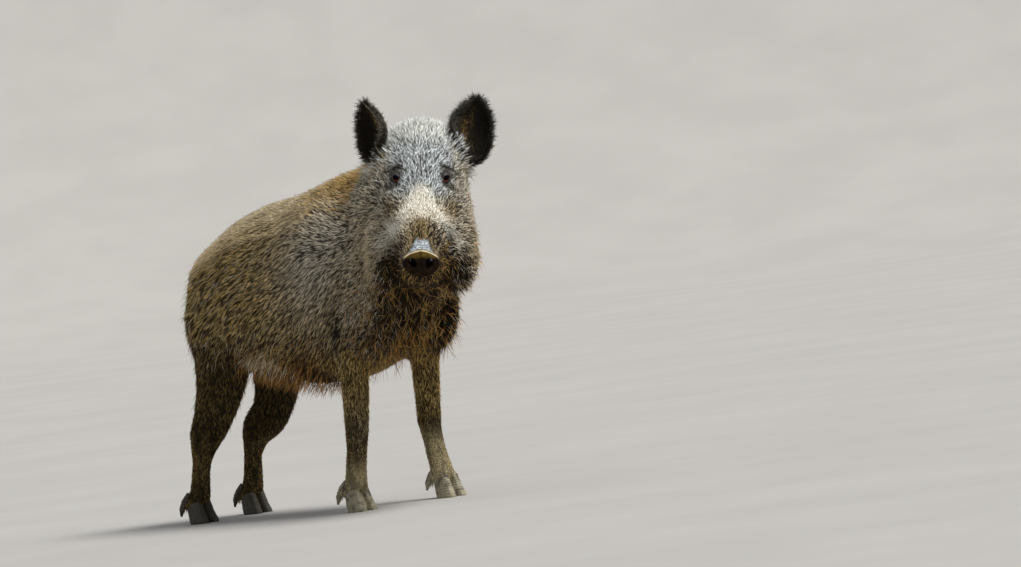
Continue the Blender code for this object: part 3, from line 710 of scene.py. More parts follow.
class Finish:
    """A material made from nodes, with short ways to add and join them."""

    def __init__(self, name):
        self.material = bpy.data.materials.new(name)
        self.material.use_nodes = True
        self.tree = self.material.node_tree
        self.shader = self.tree.nodes["Principled BSDF"]

    def add(self, kind, **settings):
        node = self.tree.nodes.new("ShaderNode" + kind)
        for name, value in settings.items():
            setattr(node, name, value)
        return node

    def join(self, output, target):
        self.tree.links.new(output, target)

    def even(self, **sockets):
        """Values that are the same all over, set on the shader itself."""
        for name, value in sockets.items():
            self.shader.inputs[name.replace("_", " ")].default_value = value

    def read(self, name, colour=False):
        """A value or colour stored on the mesh."""
        return self.add("Attribute", attribute_name=name).outputs["Color" if colour else "Fac"]

    def noise(self, scale, detail=3.0, rough=0.6, stretch=None):
        """Random grey in the thing's own space."""
        place = self.add("TexCoord").outputs["Object"]
        if stretch:
            mapping = self.add("Mapping")
            mapping.inputs["Scale"].default_value = stretch
            self.join(place, mapping.inputs["Vector"])
            place = mapping.outputs["Vector"]
        node = self.add("TexNoise")
        node.inputs["Scale"].default_value = scale
        node.inputs["Detail"].default_value = detail
        node.inputs["Roughness"].default_value = rough
        self.join(place, node.inputs["Vector"])
        return node.outputs["Fac"]

    def span(self, value, low, high, to_low=0.0, to_high=1.0):
        """A value led smoothly from one range to another."""
        node = self.add("MapRange", interpolation_type="SMOOTHSTEP")
        numbers = (low, high, to_low, to_high)
        for name, number in zip(("From Min", "From Max", "To Min", "To Max"), numbers):
            node.inputs[name].default_value = number
        self.join(value, node.inputs["Value"])
        return node.outputs["Result"]

    def math(self, operation, *values):
        node = self.add("Math", operation=operation)
        for socket, value in zip(node.inputs, values):
            if isinstance(value, (int, float)):
                socket.default_value = value
            else:
                self.join(value, socket)
        return node.outputs["Value"]

    def mix(self, share, first, second, way="MIX"):
        node = self.add("Mix", data_type="RGBA", blend_type=way)
        for socket, value in ((node.inputs[0], share), (node.inputs[6], first), (node.inputs[7], second)):
            if isinstance(value, (int, float)):
                socket.default_value = value
            elif isinstance(value, (tuple, list)):
                socket.default_value = (*value, 1.0)
            else:
                self.join(value, socket)
        return node.outputs[2]

    def bump(self, height, distance, strength=1.0):
        node = self.add("Bump")
        node.inputs["Distance"].default_value = distance
        node.inputs["Strength"].default_value = strength
        self.join(height, node.inputs["Height"])
        self.join(node.outputs["Normal"], self.shader.inputs["Normal"])

    def colour(self, output):
        self.join(output, self.shader.inputs["Base Color"])

    def rough(self, output):
        self.join(output, self.shader.inputs["Roughness"])


def hair_finish():
    """Hair that is dark near the skin and pale at the tip, each tuft a little different."""
    look = Finish("bristle_coat")
    along = look.read("along")
    chance = look.read("chance")
    share = look.math("MULTIPLY", look.span(along, 0.22, 0.72), chance)
    colour = look.mix(share, look.read("dark_hair", True), look.read("pale_hair", True))
    streaks = look.span(look.noise(420.0, 2.0), 0.3, 0.7, 0.78, 1.18)
    look.colour(look.mix(1.0, colour, streaks, "MULTIPLY"))
    look.rough(look.span(along, 0.0, 1.0, 0.75, 0.48))
    look.even(Specular_IOR_Level=0.15)
    return look.material


def skin_finish(skin):
    """The skin under the coat, in the coat's own markings, bare and leathery where no hair grows."""
    look = Finish("boar_skin")
    bare = look.read("bare")
    hairs = look.noise(300.0, 4.0, 0.7, (1.0, 1.0, 0.35))
    under = look.mix(look.span(hairs, 0.42, 0.72, 0.0, 0.45), look.read("dark_hair", True),
                     look.read("pale_hair", True))
    creases = look.noise(260.0, 5.0, 0.65)
    wear = look.span(creases, 0.35, 0.65)
    lids = look.mix(wear, tone(skin.bare, 0.45), tone(skin.bare))
    scales = look.span(look.noise(310.0, 3.0, 0.75), 0.44, 0.56)
    scales = look.math("MULTIPLY", scales, look.span(look.noise(120.0, 4.0, 0.7), 0.38, 0.56, 0.25, 1.0))
    wrinkles = look.mix(scales, tone(skin.leather, 0.16), tone(skin.leather))
    look.colour(look.mix(bare, under, look.mix(look.read("leather"), lids, wrinkles)))
    look.rough(look.span(bare, 0.0, 1.0, 0.85, 0.48))
    look.bump(look.math("ADD", hairs, creases), 0.0012, 0.7)
    return look.material


IRIS_EDGE = (0.012, 0.007, 0.005)
PUPIL = (0.002, 0.002, 0.004)


def eye_finish(eyes):
    """Amber with fine fibres, a dark edge and a black pupil, moist all over."""
    look = Finish("amber_eye")
    ring = look.read("ring")
    fibres = look.noise(900.0, 3.0)
    amber = look.mix(look.span(fibres, 0.35, 0.65), tone(eyes.iris, 0.55), tone(eyes.iris))
    dark_rim = look.mix(look.span(ring, 0.58, 0.70), amber, IRIS_EDGE)
    look.colour(look.mix(look.span(ring, 0.36, 0.41), PUPIL, dark_rim))
    look.even(Roughness=0.08, Specular_IOR_Level=0.04)
    return look.material


def disc_finish(snout):
    """Moist dark skin, worn pale along the upper rim."""
    look = Finish("snout_skin")
    pores = look.noise(700.0, 3.0, 0.6)
    stains = look.noise(90.0, 4.0, 0.6)
    skin = look.mix(look.span(stains, 0.35, 0.68), tone(snout.disc, 0.35),
                    tone(snout.disc, 1.5))
    band = look.math("MULTIPLY", look.read("band"), look.span(stains, 0.30, 0.60, 0.4, 1.0))
    skin = look.mix(band, skin, tone(snout.band))
    worn = look.math("MULTIPLY", look.read("worn"), look.span(stains, 0.30, 0.60, 0.35, 1.0))
    skin = look.mix(worn, skin, tone(snout.rim))
    # Painted shade: the nostrils are coloured nearly black, as the shade inside them.
    look.colour(look.mix(look.read("hole"), skin, tone(snout.disc, 0.12)))
    look.rough(look.span(pores, 0.3, 0.7, 0.40, 0.62))
    look.even(Specular_IOR_Level=0.08)
    look.bump(pores, 0.0006, 0.8)
    return look.material


def horn_finish(hooves):
    """Dull horn with growth rings, scuffed and muddy near the ground."""
    look = Finish("hoof_horn")
    height = look.add("SeparateXYZ")
    look.join(look.add("TexCoord").outputs["Object"], height.inputs["Vector"])
    level = height.outputs["Z"]
    fibres = look.noise(60.0, 4.0, 0.6, (6.0, 6.0, 1.0))
    horn = look.mix(look.span(fibres, 0.3, 0.7), tone(hooves.horn, 0.3), tone(hooves.horn))
    mud = look.span(look.math("ADD", look.noise(55.0, 5.0), look.math("MULTIPLY", level, -2.0)), 0.22, 0.55)
    dried = look.mix(look.read("hind"), tone(hooves.mud), tone(hooves.mud, 0.12))
    look.colour(look.mix(mud, horn, dried))
    look.rough(look.span(fibres, 0.3, 0.7, 0.5, 0.8))
    look.bump(fibres, 0.0008, 0.6)
    return look.material


# ---------------------------------------------------------------- skin
GAP_CLOSED = 0.0005  # each solid of flesh grows by this, so that the gaps between them close
UNDER_HOOF, UNDER_DISC = 0.0050, 0.016  # how far inside the horn and the disc the skin lies
REFINED_WITHIN = 0.040, 0.030, 0.019  # each round halves the squares this near to the eyes
EYEBALL_RADIUS = 0.0135
EYE_REACH = 0.030  # the lids' folds end this far from the eye
SLIT_POINTED = 1.75  # 2 is an ellipse, 1 a diamond
CORNEA_SWELL = 0.0007
MOUTH_CORNER_ALONG, MOUTH_CORNER_OFF = 0.078, -0.083  # along and off the face line
MOUTH_SLOPE = 0.141
WRINKLE_SPACING = 0.0075


def flesh_cast(size):
    """One closed skin over all the solids of flesh, with the gaps between them filled."""
    bm = bmesh.new()
    for name in FLESH + HORNS + ["eye_left", "eye_right", "snout_disc"]:
        bm.from_mesh(NODES[name].data)
    bmesh.ops.remove_doubles(bm, verts=bm.verts, dist=WELD)
    bm.normal_update()
    for vert in bm.verts:
        vert.co += vert.normal * GAP_CLOSED
    return recast(show("boar_skin", mesh_of(bm, "boar_skin")), size, 5)


def from_point(points, at):
    """Distance of each point from the given one."""
    return np.linalg.norm(points - np.array(at), axis=1)


def from_eyes(points):
    """Distance of each point from the nearer eye."""
    return np.minimum(from_point(points, EYE["left"]), from_point(points, EYE["right"]))


def set_in(mesh):
    """Moves the skin in by the depth of the coat, and a fixed way inside the hooves and the disc."""
    points = corners(mesh)
    q = Place(points, outward_of(mesh))
    in_hoof = rise(0.050 - q.z, 0.0, 0.008)
    depth = coat_at(q)[0][:, DEPTH]
    depth = depth * (1 - in_hoof) + UNDER_HOOF * in_hoof
    depth += UNDER_DISC * rise(0.036 - from_point(points, DISC_AT), 0.0, 0.010)
    depth = evened(mesh, depth, 4)
    points -= q.normals * depth[:, None]
    put_corners(mesh, evened(mesh, points, 3))


def refine(mesh, chosen):
    """Splits the squares around the chosen corners in four."""
    bm = bmesh.new()
    bm.from_mesh(mesh)
    bm.verts.ensure_lookup_table()
    picked = set(np.flatnonzero(chosen).tolist())
    edges = [e for e in bm.edges if e.verts[0].index in picked and e.verts[1].index in picked]
    bmesh.ops.subdivide_edges(bm, edges=edges, cuts=1, use_grid_fill=True, smooth=0.0)
    bm.to_mesh(mesh)
    bm.free()


def eye_axes(mesh, side):
    """Outward, slit and lid directions of an eye, from the skin round it."""
    near = from_point(corners(mesh), EYE[side]) < EYE_REACH
    out = Vector(outward_of(mesh)[near].mean(axis=0)).normalized()
    out = (out + FORWARD * 0.75 - UPWARD * 0.55).normalized()
    slit = UPWARD.cross(out).normalized() * mirrored(side)
    slit = (slit + UPWARD * 0.85).normalized()
    slit = (slit - out * slit.dot(out)).normalized()
    lid = out.cross(slit).normalized()
    if lid.dot(UPWARD) < 0:
        lid.negate()
    return out, slit, lid


def carve_eye(mesh, side, skin):
    """Opens a slit over the eyeball, with lids that follow its curve and a crease round them."""
    out, slit, lid = (np.array(v) for v in eye_axes(mesh, side))
    points = corners(mesh)
    from_eye = points - np.array(EYE[side])
    across, over, height = from_eye @ slit, from_eye @ lid, from_eye @ out
    radius = np.hypot(across, over)
    near = (radius < EYE_REACH) & (height > -0.012)
    angle = np.arctan2(over, across)
    half_width = skin.eye_width / 2
    half_height = np.where(over > 0, skin.eye_height * 0.54, skin.eye_height * 0.46)
    wide = (np.abs(np.cos(angle)) / half_width) ** SLIT_POINTED
    high = (np.abs(np.sin(angle)) / half_height) ** SLIT_POINTED
    edge = (wide + high) ** (-1 / SLIT_POINTED)
    beyond = radius - edge
    snap = near & (np.abs(beyond) < 0.00045)
    scale = np.where(snap, edge / np.maximum(radius, 1e-6), 1.0)
    across, over, radius = across * scale, over * scale, radius * scale
    beyond = np.where(snap, 0.0, beyond)
    ball = np.sqrt(np.maximum((EYEBALL_RADIUS + skin.lid) ** 2 - radius**2, 0.0))
    hug = 1 - rise(beyond, 0.0025, 0.0120)
    lifted = height * (1 - hug) + np.maximum(ball, height - 0.006) * hug
    # two creases round the lids, and a soft fold between them over the eye
    lifted -= 0.0012 * hump(beyond, 0.0052, 0.0012) + 0.0009 * hump(beyond, 0.0090, 0.0016)
    lifted += 0.0016 * hump(beyond, 0.0072, 0.0020) * (over > 0)
    behind_ball = np.sqrt(np.maximum(EYEBALL_RADIUS**2 - radius**2, 0)) - 0.0045
    lifted = np.where(beyond < -0.0002, behind_ball, lifted)
    moved = np.outer(across, slit) + np.outer(over, lid) + np.outer(lifted, out)
    points[near] = (np.array(EYE[side]) + moved)[near]
    put_corners(mesh, points)
    return np.where(near, 1 - rise(beyond, 0.0018, 0.0062), 0.0)


def mouth_line(q, half, over=0.0):
    """1 along the line where the lips meet, or the given distance over it."""
    past_corner = q.along - MOUTH_CORNER_ALONG
    line = MOUTH_CORNER_OFF + MOUTH_SLOPE * past_corner
    ends = rise(q.along, MOUTH_CORNER_ALONG, MOUTH_CORNER_ALONG + 0.015) * rise(0.245 - q.along, 0.0, 0.01)
    return hump(q.off - over, line, half) * ends


def fold_face(mesh):
    """Wrinkles over the nose, folds over the eyes and the line of the mouth."""
    points = corners(mesh)
    q = Place(points, outward_of(mesh))
    waves = np.sin(q.along * 2 * math.pi / WRINKLE_SPACING + 3.0 * grain(points, 0.012, 11))
    step = 0.0007 * waves * on_nose_leather(q)
    step -= 0.0045 * mouth_line(q, 0.0026)
    step += 0.0016 * mouth_line(q, 0.0040, 0.0065)
    step -= 0.0035 * q.trail(0.0035, BROW)
    step += 0.0018 * q.face_ball((0.006, 0.058, 0.0145), (0.03, 0.018, 0.004))
    put_corners(mesh, points + q.normals * step[:, None])


# Root and tip from the middle of the eyes, how far the opening turns out, how far the middle of the
# leaf stands out from the line between them at each of its stations, and the share of the usual width
EARS = {
    "left": ((-0.100, 0.098, 0.040), (-0.112, 0.134, 0.189), math.radians(8),
             (0.0, 0.020, 0.007, 0.0, -0.001, 0.001, 0.0), 1.0),
    "right": ((-0.100, -0.094, 0.040), (-0.112, -0.134, 0.178), math.radians(48),
              (0.0, 0.012, 0.000, -0.006, -0.003, 0.002, 0.0), 0.90),
}
EAR_HOLLOW = 0.012
EAR_FRINGE = 0.007  # what the hair on the edges adds to the half width
EAR_THICKNESS = 0.0055
EAR_TIP = 0.965  # the leaf ends at this share of the height, and hair makes the rest
EAR_STRIPS, EAR_COLUMNS = 60, 29
EAR_ROWS = (  # share of the height, half width along the arc, half angle of the arc in degrees
    (-0.06, 0.016, 80.0),
    (0.08, 0.038, 96.0),
    (0.28, 0.066, 80.0),
    (0.48, 0.066, 64.0),
    (0.69, 0.052, 50.0),
    (0.87, 0.030, 40.0),
    (1.00, 0.005, 30.0),
)


def ear_opening(side):
    """The way the cup of an ear opens."""
    turned = EARS[side][2]
    return FORWARD * math.cos(turned) + LEFTWARD * mirrored(side) * math.sin(turned)


def ear_leaf(side):
    """A thin cupped leaf that grows out of the head, with the lie of its hair stored on it."""
    root, tip, _, sway, slim = EARS[side]
    root, tip = on_head(*root), on_head(*tip)
    rise_way = (tip - root).normalized()
    across = rise_way.cross(ear_opening(side)).normalized()
    opening = across.cross(rise_way).normalized()
    outwards = across * math.copysign(1.0, across.dot(LEFTWARD) * mirrored(side))
    shares, halves, angles = np.array(EAR_ROWS).T
    t = np.linspace(shares[0], EAR_TIP, EAR_STRIPS)
    half, angle, out_by = (
        np.convolve(np.pad(np.interp(t, shares, row), 4, "edge"), np.ones(9) / 9, "valid")
        for row in (halves, np.radians(angles), sway)
    )
    half = np.maximum(half * slim - EAR_FRINGE * rise(t, 0.05, 0.35), 0.003)
    c = np.linspace(-1, 1, EAR_COLUMNS)
    radius = (half / angle)[:, None]
    turn = np.outer(angle, c)
    sag = EAR_HOLLOW * np.sin(math.pi * np.maximum(t, 0))
    middle_line = np.array(root)[None] + np.outer(t, np.array(tip - root))
    middle_line += np.outer(out_by, np.array(outwards)) - np.outer(sag, np.array(opening))
    depth = (np.cos(turn) - np.cos(angle / 2)[:, None]) * radius
    sheet = middle_line[:, None] + (np.sin(turn) * radius)[..., None] * np.array(across)
    sheet = sheet - depth[..., None] * np.array(opening)
    bm = bmesh.new()
    grid = [[bm.verts.new(point) for point in row] for row in sheet]
    for row, following in zip(grid, grid[1:]):
        for i in range(len(row) - 1):
            bm.faces.new((row[i], row[i + 1], following[i + 1], following[i]))
    leaf = show("ear_" + side + "_leaf", mesh_of(bm, "leaf"))
    from_middle = np.tile(c, len(t))
    height = np.repeat(t, len(c))
    way = np.array(rise_way)[None] * (1.0 - 0.55 * from_middle**2)[:, None]
    sideways = unit(np.gradient(sheet, axis=1).reshape(-1, 3))
    way += sideways * (from_middle * (0.25 + 1.1 * from_middle**2))[:, None]
    note(leaf.data, "lie", "FLOAT_VECTOR", unit(way))
    for name, values in (
        ("ear", np.ones(len(height))),
        ("edge", np.maximum(np.abs(from_middle) ** 3, rise(height, 0.80, 0.96))),
        ("inner", -from_middle * math.copysign(1.0, across.dot(outwards))),
        ("height", height),
    ):
        note(leaf.data, name, "FLOAT", values)
    thick = leaf.modifiers.new("thickness", "SOLIDIFY")
    thick.thickness = EAR_THICKNESS
    thick.offset = 0.0
    leaf.modifiers.new("soften", "SUBSURF").levels = 1
    return settle(leaf)


def joined(things, name):
    bpy.ops.object.select_all(action="DESELECT")
    for thing in things:
        thing.select_set(True)
    bpy.context.view_layer.objects.active = things[0]
    bpy.ops.object.join()
    things[0].name = name
    return things[0]


def unwrap(thing):
    """Lays the skin out flat by its own shape, on the map that carries its colours."""
    bpy.context.view_layer.objects.active = thing
    thing.select_set(True)
    bpy.ops.object.mode_set(mode="EDIT")
    bpy.ops.mesh.select_all(action="SELECT")
    bpy.ops.uv.smart_project(angle_limit=math.radians(66), island_margin=0.001)
    bpy.ops.object.mode_set(mode="OBJECT")
    thing.data.uv_layers[0].name = "OFBake"


class BOAR_OT_skin(bpy.types.Operator):
    """Lay one skin over the body, with lids, folds and ears"""

    bl_idname = "boar.skin"
    bl_label = "Skin"

    def execute(self, context):
        skin = context.scene.boar_skin
        coat = context.scene.boar_coat
        thing = flesh_cast(skin.grain)
        mesh = thing.data
        set_in(mesh)
        for reach in REFINED_WITHIN:
            points = corners(mesh)
            near = from_eyes(points) < reach
            if reach == REFINED_WITHIN[0]:
                q = Place(points, outward_of(mesh))
                near |= (q.along > 0.06) & (q.fore > 0.0) & (q.flat < 0.08)
            refine(mesh, near)
            points = corners(mesh)
            close = (from_eyes(points) < reach).astype(float)[:, None]
            put_corners(mesh, evened(mesh, points, 3, close, 0.35))
        fold_face(mesh)
        lids = np.maximum(*[carve_eye(mesh, side, skin) for side in EYE])
        q = Place(corners(mesh), outward_of(mesh))
        leather = on_nose_leather(q)
        note(mesh, "bare", "FLOAT", np.maximum.reduce((lids, leather, mouth_line(q, 0.0032))))
        note(mesh, "leather", "FLOAT", leather)
        thing = joined([thing, *(ear_leaf(side) for side in EYE)], "boar_skin")
        unwrap(thing)
        mesh = thing.data
        _, dark, pale = coat_at(Place(corners(mesh), outward_of(mesh)))
        ear = noted(mesh, "ear")[:, None]
        note(mesh, "dark_hair", "FLOAT_COLOR", dark * (1 - ear) + np.array(coat.soot) * ear)
        note(mesh, "pale_hair", "FLOAT_COLOR", pale * (1 - ear) + np.array(coat.root) * ear)
        dress(mesh, skin_finish(skin))
        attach(thing, "root")
        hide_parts(*FLESH, "ear_left", "ear_right")
        return {"FINISHED"}


# ---------------------------------------------------------------- eyes, snout and hooves
class BOAR_OT_eyes(bpy.types.Operator):
    """Set two moist amber eyes under the lids"""

    bl_idname = "boar.eyes"
    bl_label = "Eyes"

    def execute(self, context):
        finish = eye_finish(context.scene.boar_eyes)
        skin_mesh = bpy.data.objects["boar_skin"].data
        for side in EYE:
            out, slit, lid = eye_axes(skin_mesh, side)
            bm = bmesh.new()
            bmesh.ops.create_uvsphere(bm, u_segments=40, v_segments=28, radius=EYEBALL_RADIUS)
            bm.transform(Matrix((slit, lid, out)).transposed().to_4x4())
            mesh = mesh_of(bm, "eyeball_" + side)
            points = corners(mesh)
            gaze = (out + lid * 0.40 + LEFTWARD * mirrored(side) * 0.26).normalized()
            facing = points @ np.array(gaze) / EYEBALL_RADIUS
            ring = np.arccos(np.clip(facing, -1, 1)) / (math.pi / 2)
            swell = CORNEA_SWELL * rise(0.55 - ring, 0.0, 0.25)
            put_corners(mesh, points * (1 + swell / EYEBALL_RADIUS)[:, None] + np.array(EYE[side]))
            note(mesh, "ring", "FLOAT", ring)
            dress(mesh, finish)
            ball = show("eyeball_" + side, mesh)
            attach(ball, "root")
            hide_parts("eye_" + side)
        return {"FINISHED"}


DISC_HALF_WIDE, DISC_HALF_DEEP = 0.0440, 0.0085
DISC_RINGS, DISC_SPOKES, DISC_BACK = 46, 120, 13
RIM_AT, RIM_HALF = 0.92, 0.055  # share of the way out
NOSTRIL_OUT, NOSTRIL_UP = 0.0195, 0.0045
NOSTRIL_HALF_WIDE, NOSTRIL_HALF_HIGH = 0.0088, 0.0108
NOSTRIL_SLANT, NOSTRIL_DEEP = 0.55, 0.0125
SIDE_DEEP = 0.0125  # from the rim back to where the disc meets the skin


def disc_ring(step, turns, rim_height):
    """Places of one ring of the disc, from its middle outwards and then back, its stains, and the painted
    shade in its nostrils.
    """
    share = min(step / DISC_RINGS, 1.0)
    back = max(step - DISC_RINGS, 0) / DISC_BACK
    u, v = np.cos(turns) * share, np.sin(turns) * share
    narrow = 1 - 0.10 * back
    squarer = np.abs(np.cos(turns)) ** np.where(v > 0, -0.22, 0.0)
    x = u * DISC_HALF_WIDE * narrow * np.minimum(squarer, 1.6)
    over = np.maximum(v, 0) * np.abs(np.sin(turns)) ** -0.15 * (0.0250 + 0.0060 * hump(x, 0, 0.022))
    y = (np.where(v > 0, over, v * 0.0365) + 0.0055) * narrow
    height = np.full(len(turns), DISC_HALF_DEEP)
    height -= 0.0024 * (1 - share**2)
    height += rim_height * hump(share, RIM_AT, RIM_HALF) * (0.35 + 0.75 * rise(v, -0.2, 0.9))
    height -= 0.0050 * rise(share, 0.945, 1.0)
    groove = hump(x, 0, 0.0024) * rise(v, -0.95, -0.1) * rise(0.60 - v, 0, 0.3)
    height -= 0.0014 * groove * (share < 0.9)
    from_nostril = np.abs(x) - NOSTRIL_OUT
    over_nostril = y - NOSTRIL_UP - from_nostril * NOSTRIL_SLANT
    hole = np.hypot(from_nostril / NOSTRIL_HALF_WIDE, over_nostril / NOSTRIL_HALF_HIGH)
    height -= NOSTRIL_DEEP * rise(1.10 - hole, 0.0, 0.55)
    height += 0.0012 * hump(hole, 1.35, 0.22)
    height -= back * SIDE_DEEP
    edge = hump(share, 0.955, 0.022) * rise(v, 0.10, 0.60) + 0.30 * (back > 0) * rise(v, 0.3, 0.7)
    stains = {
        "worn": np.clip(edge, 0, 1) * (1 - 0.7 * back),
        # painted shade: the inside of each nostril is darkened as the shade of the hole
        "hole": rise(1.05 - hole, 0.0, 0.35) * (back == 0),
        "band": rise(v, 0.22, 0.62) * (back == 0),
    }
    return x, y, height, stains


class BOAR_OT_snout(bpy.types.Operator):
    """Shape the bare disc with its rim and nostrils"""

    bl_idname = "boar.snout"
    bl_label = "Snout disc"

    def execute(self, context):
        snout = context.scene.boar_snout
        ahead = FORWARD * math.cos(DISC_PITCH) - UPWARD * math.sin(DISC_PITCH)
        above = FORWARD * math.sin(DISC_PITCH) + UPWARD * math.cos(DISC_PITCH)
        turns = np.linspace(0, 2 * math.pi, DISC_SPOKES, endpoint=False)
        steps = range(DISC_RINGS + DISC_BACK + 1)
        rings = [disc_ring(step, turns, snout.rim_height) for step in steps]
        bm = bmesh.new()
        grid = [
            [bm.verts.new(DISC_AT + LEFTWARD * a + above * b + ahead * c) for a, b, c in zip(x, y, height)]
            for x, y, height, _ in rings[1:]
        ]
        centre = bm.verts.new(DISC_AT + ahead * rings[0][2][0])
        span_rings(bm, grid)
        for i in range(DISC_SPOKES):
            bm.faces.new((centre, grid[0][i], grid[0][(i + 1) % DISC_SPOKES]))
        bm.faces.new(grid[-1])
        mesh = mesh_of(bm, "snout_pad")
        for name in ("worn", "hole", "band"):
            values = [stains[name] for _, _, _, stains in rings]
            note(mesh, name, "FLOAT", np.concatenate([*values[1:], values[0][:1]]))
        points = corners(mesh)
        away = unit(points - np.array(DISC_AT))
        lumps = grain(points, 0.0035, 21) - 0.5 + 0.6 * (grain(points, 0.009, 22) - 0.5)
        put_corners(mesh, points + away * (lumps * 0.0009)[:, None])
        dress(mesh, disc_finish(snout))
        pad = show("snout_pad", mesh)
        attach(pad, "root")
        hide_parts("snout_disc")
        return {"FINISHED"}


HORN_GRAIN = 0.0015
HORN_RING_SPACING = 0.0058
SOLE_FLAT = 0.0022


class BOAR_OT_hooves(bpy.types.Operator):
    """Smooth the claws and give them growth rings"""

    bl_idname = "boar.hooves"
    bl_label = "Hooves"

    def execute(self, context):
        hooves = context.scene.boar_hooves
        finish = horn_finish(hooves)
        for node in HORNS:
            bm = bmesh.new()
            bm.from_mesh(NODES[node].data)
            bmesh.ops.remove_doubles(bm, verts=bm.verts, dist=WELD)
            horn = recast(show(node + "_horn", mesh_of(bm, node + "_horn")), HORN_GRAIN, 4)
            mesh = horn.data
            points, normals = corners(mesh), outward_of(mesh)
            height = points[:, 2] - GROUND_AT.z
            rings = np.sin(height * 2 * math.pi / HORN_RING_SPACING + 4 * grain(points, 0.02, 31))
            sides = rise(1 - np.abs(normals[:, 2]), 0.2, 0.6) * rise(height, 0.003, 0.008)
            step = hooves.ring_depth * rings * sides + 0.0010 * (grain(points, 0.007, 32) - 0.5) * sides
            points += normals * step[:, None]
            if node.startswith("claw_"):
                points[:, 2] = np.maximum(points[:, 2], GROUND_AT.z)
                points[:, 2] = np.where(height < SOLE_FLAT, GROUND_AT.z, points[:, 2])
            put_corners(mesh, points)
            note(mesh, "hind", "FLOAT", np.full(len(points), float("hindleg" in node)))
            dress(mesh, finish)
            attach(horn, "root")
            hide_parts(node)
        return {"FINISHED"}


# ---------------------------------------------------------------- coat
class Hide:
    """The finished skin, ready to have hair rooted on it."""

    def __init__(self):
        mesh = bpy.data.objects["boar_skin"].data
        mesh.calc_loop_triangles()
        self.corner = pulled(mesh.loop_triangles, "vertices", 3, np.int32)
        loops = pulled(mesh.loop_triangles, "loops", 3, np.int32)
        self.map = pulled(mesh.uv_layers["OFBake"].uv, "vector", 2)[loops].astype(float)
        self.points = corners(mesh)
        self.normals = outward_of(mesh)
        a, b, c = (self.points[self.corner[:, i]] for i in range(3))
        self.area = np.linalg.norm(np.cross(b - a, c - a), axis=1) / 2
        self.middle = (a + b + c) / 3
        words = ("ear", "edge", "height", "inner", "lie", "bare")
        self.stored = {word: noted(mesh, word) for word in words}

    def faces(self):
        """The middles of the faces as a place."""
        return Place(self.middle, unit(self.normals[self.corner].mean(1)))

    def on_faces(self, word):
        """A stored value on each face."""
        return self.stored[word][self.corner].mean(1)


class Roots:
    """Places for tufts on the hide, as many on each face as its crowd says."""

    def __init__(self, hide, crowd, draws):
        wanted = np.cumsum(crowd * hide.area)
        count = int(wanted[-1])
        ticks = (np.arange(count) + draws.random(count)) * (wanted[-1] / count)
        face = np.clip(np.searchsorted(wanted, ticks), 0, len(wanted) - 1)
        first, second = np.sqrt(draws.random(count)), draws.random(count)
        self.count = count
        self.share = np.stack((1 - first, first * (1 - second), first * second), 1)
        self.corner = hide.corner[face]
        self.spot = (hide.map[face] * self.share[:, :, None]).sum(1)
        self.points = self.read(hide.points)
        self.normals = unit(self.read(hide.normals))

    def read(self, values):
        """The skin's values at the roots."""
        shape = (-1,) + (1,) * (values.ndim - 1)
        return sum(values[self.corner[:, i]] * self.share[:, i].reshape(shape) for i in range(3))

    def parts(self, lie, sunk, **others):
        """What a coat piece needs to know of its roots, which are sunk into the skin a little."""
        points = self.points - self.normals * sunk
        return dict(roots=points, normals=self.normals, lie=lie, spot=self.spot, **others)


def swerved(lie, normals, turn):
    """The lie of the hair, turned aside along the skin by the given angles."""
    side = np.cross(normals, lie)
    return lie * np.cos(turn)[:, None] + side * np.sin(turn)[:, None]


def locks(points, spacing, draws):
    """For each root the root of the lock it belongs to, and a random value that the lock shares."""
    keep = draws.random(len(points)) < 1 / spacing
    heads = np.flatnonzero(keep)
    tree = KDTree(len(heads))
    for index, head in enumerate(heads):
        tree.insert(points[head], index)
    tree.balance()
    near = np.fromiter((tree.find(point)[1] for point in points), np.int64, len(points))
    return heads[near], draws.random(len(heads))[near]


TUFT_TAPER = {1: (1.0,), 2: (0.95, 0.70)}  # share of the width at each ring of a tuft
MAP_PATCH = 0.003  # side of the patch that a tuft takes up on the map
TUFTS_IN_LOCK = 3
LOCK_PULL = 0.45  # how far a tuft turns towards the root of its lock
GUARD_SHARE = 0.20  # share of the pale tufts that stand out to the full depth of the coat
USUAL_BEND = np.radians(16)
ROOTS_SUNK, LONG_ROOTS_SUNK, EAR_ROOTS_SUNK = 0.0008, 0.001, 0.0004
COAT_CLEAR, LONG_CLEAR = 0.034, 0.045  # nothing grows nearer to the middle of the disc


def tuft_centres(roots, normals, lie, length, lift, bend, droop, steps):
    """Points along the middle of each tuft from root to tip, and its way at each of them."""
    centres, ways = [roots], []
    for share in (np.arange(steps) + 0.5) / steps:
        angle = (lift - bend * share)[:, None]
        way = unit(lie * np.cos(angle) + normals * np.sin(angle) + DOWN * (droop * share))
        centres.append(centres[-1] + way * (length / steps)[:, None])
        ways.append(way)
    return centres, ways


def tuft_faces(rings):
    """Triangles of one tuft: three round the root, six between rings and three round the tip."""
    faces = [(0, 2, 1), (0, 3, 2), (0, 1, 3)]
    for low in range(1, 3 * rings - 2, 3):
        for i in range(3):
            j = (i + 1) % 3
            faces += [(low + i, low + j, low + 3 + j), (low + i, low + 3 + j, low + 3 + i)]
    low, tip = 3 * rings - 2, 3 * rings + 1
    return np.array(faces + [(low, low + 1, tip), (low + 1, low + 2, tip), (low + 2, low, tip)])


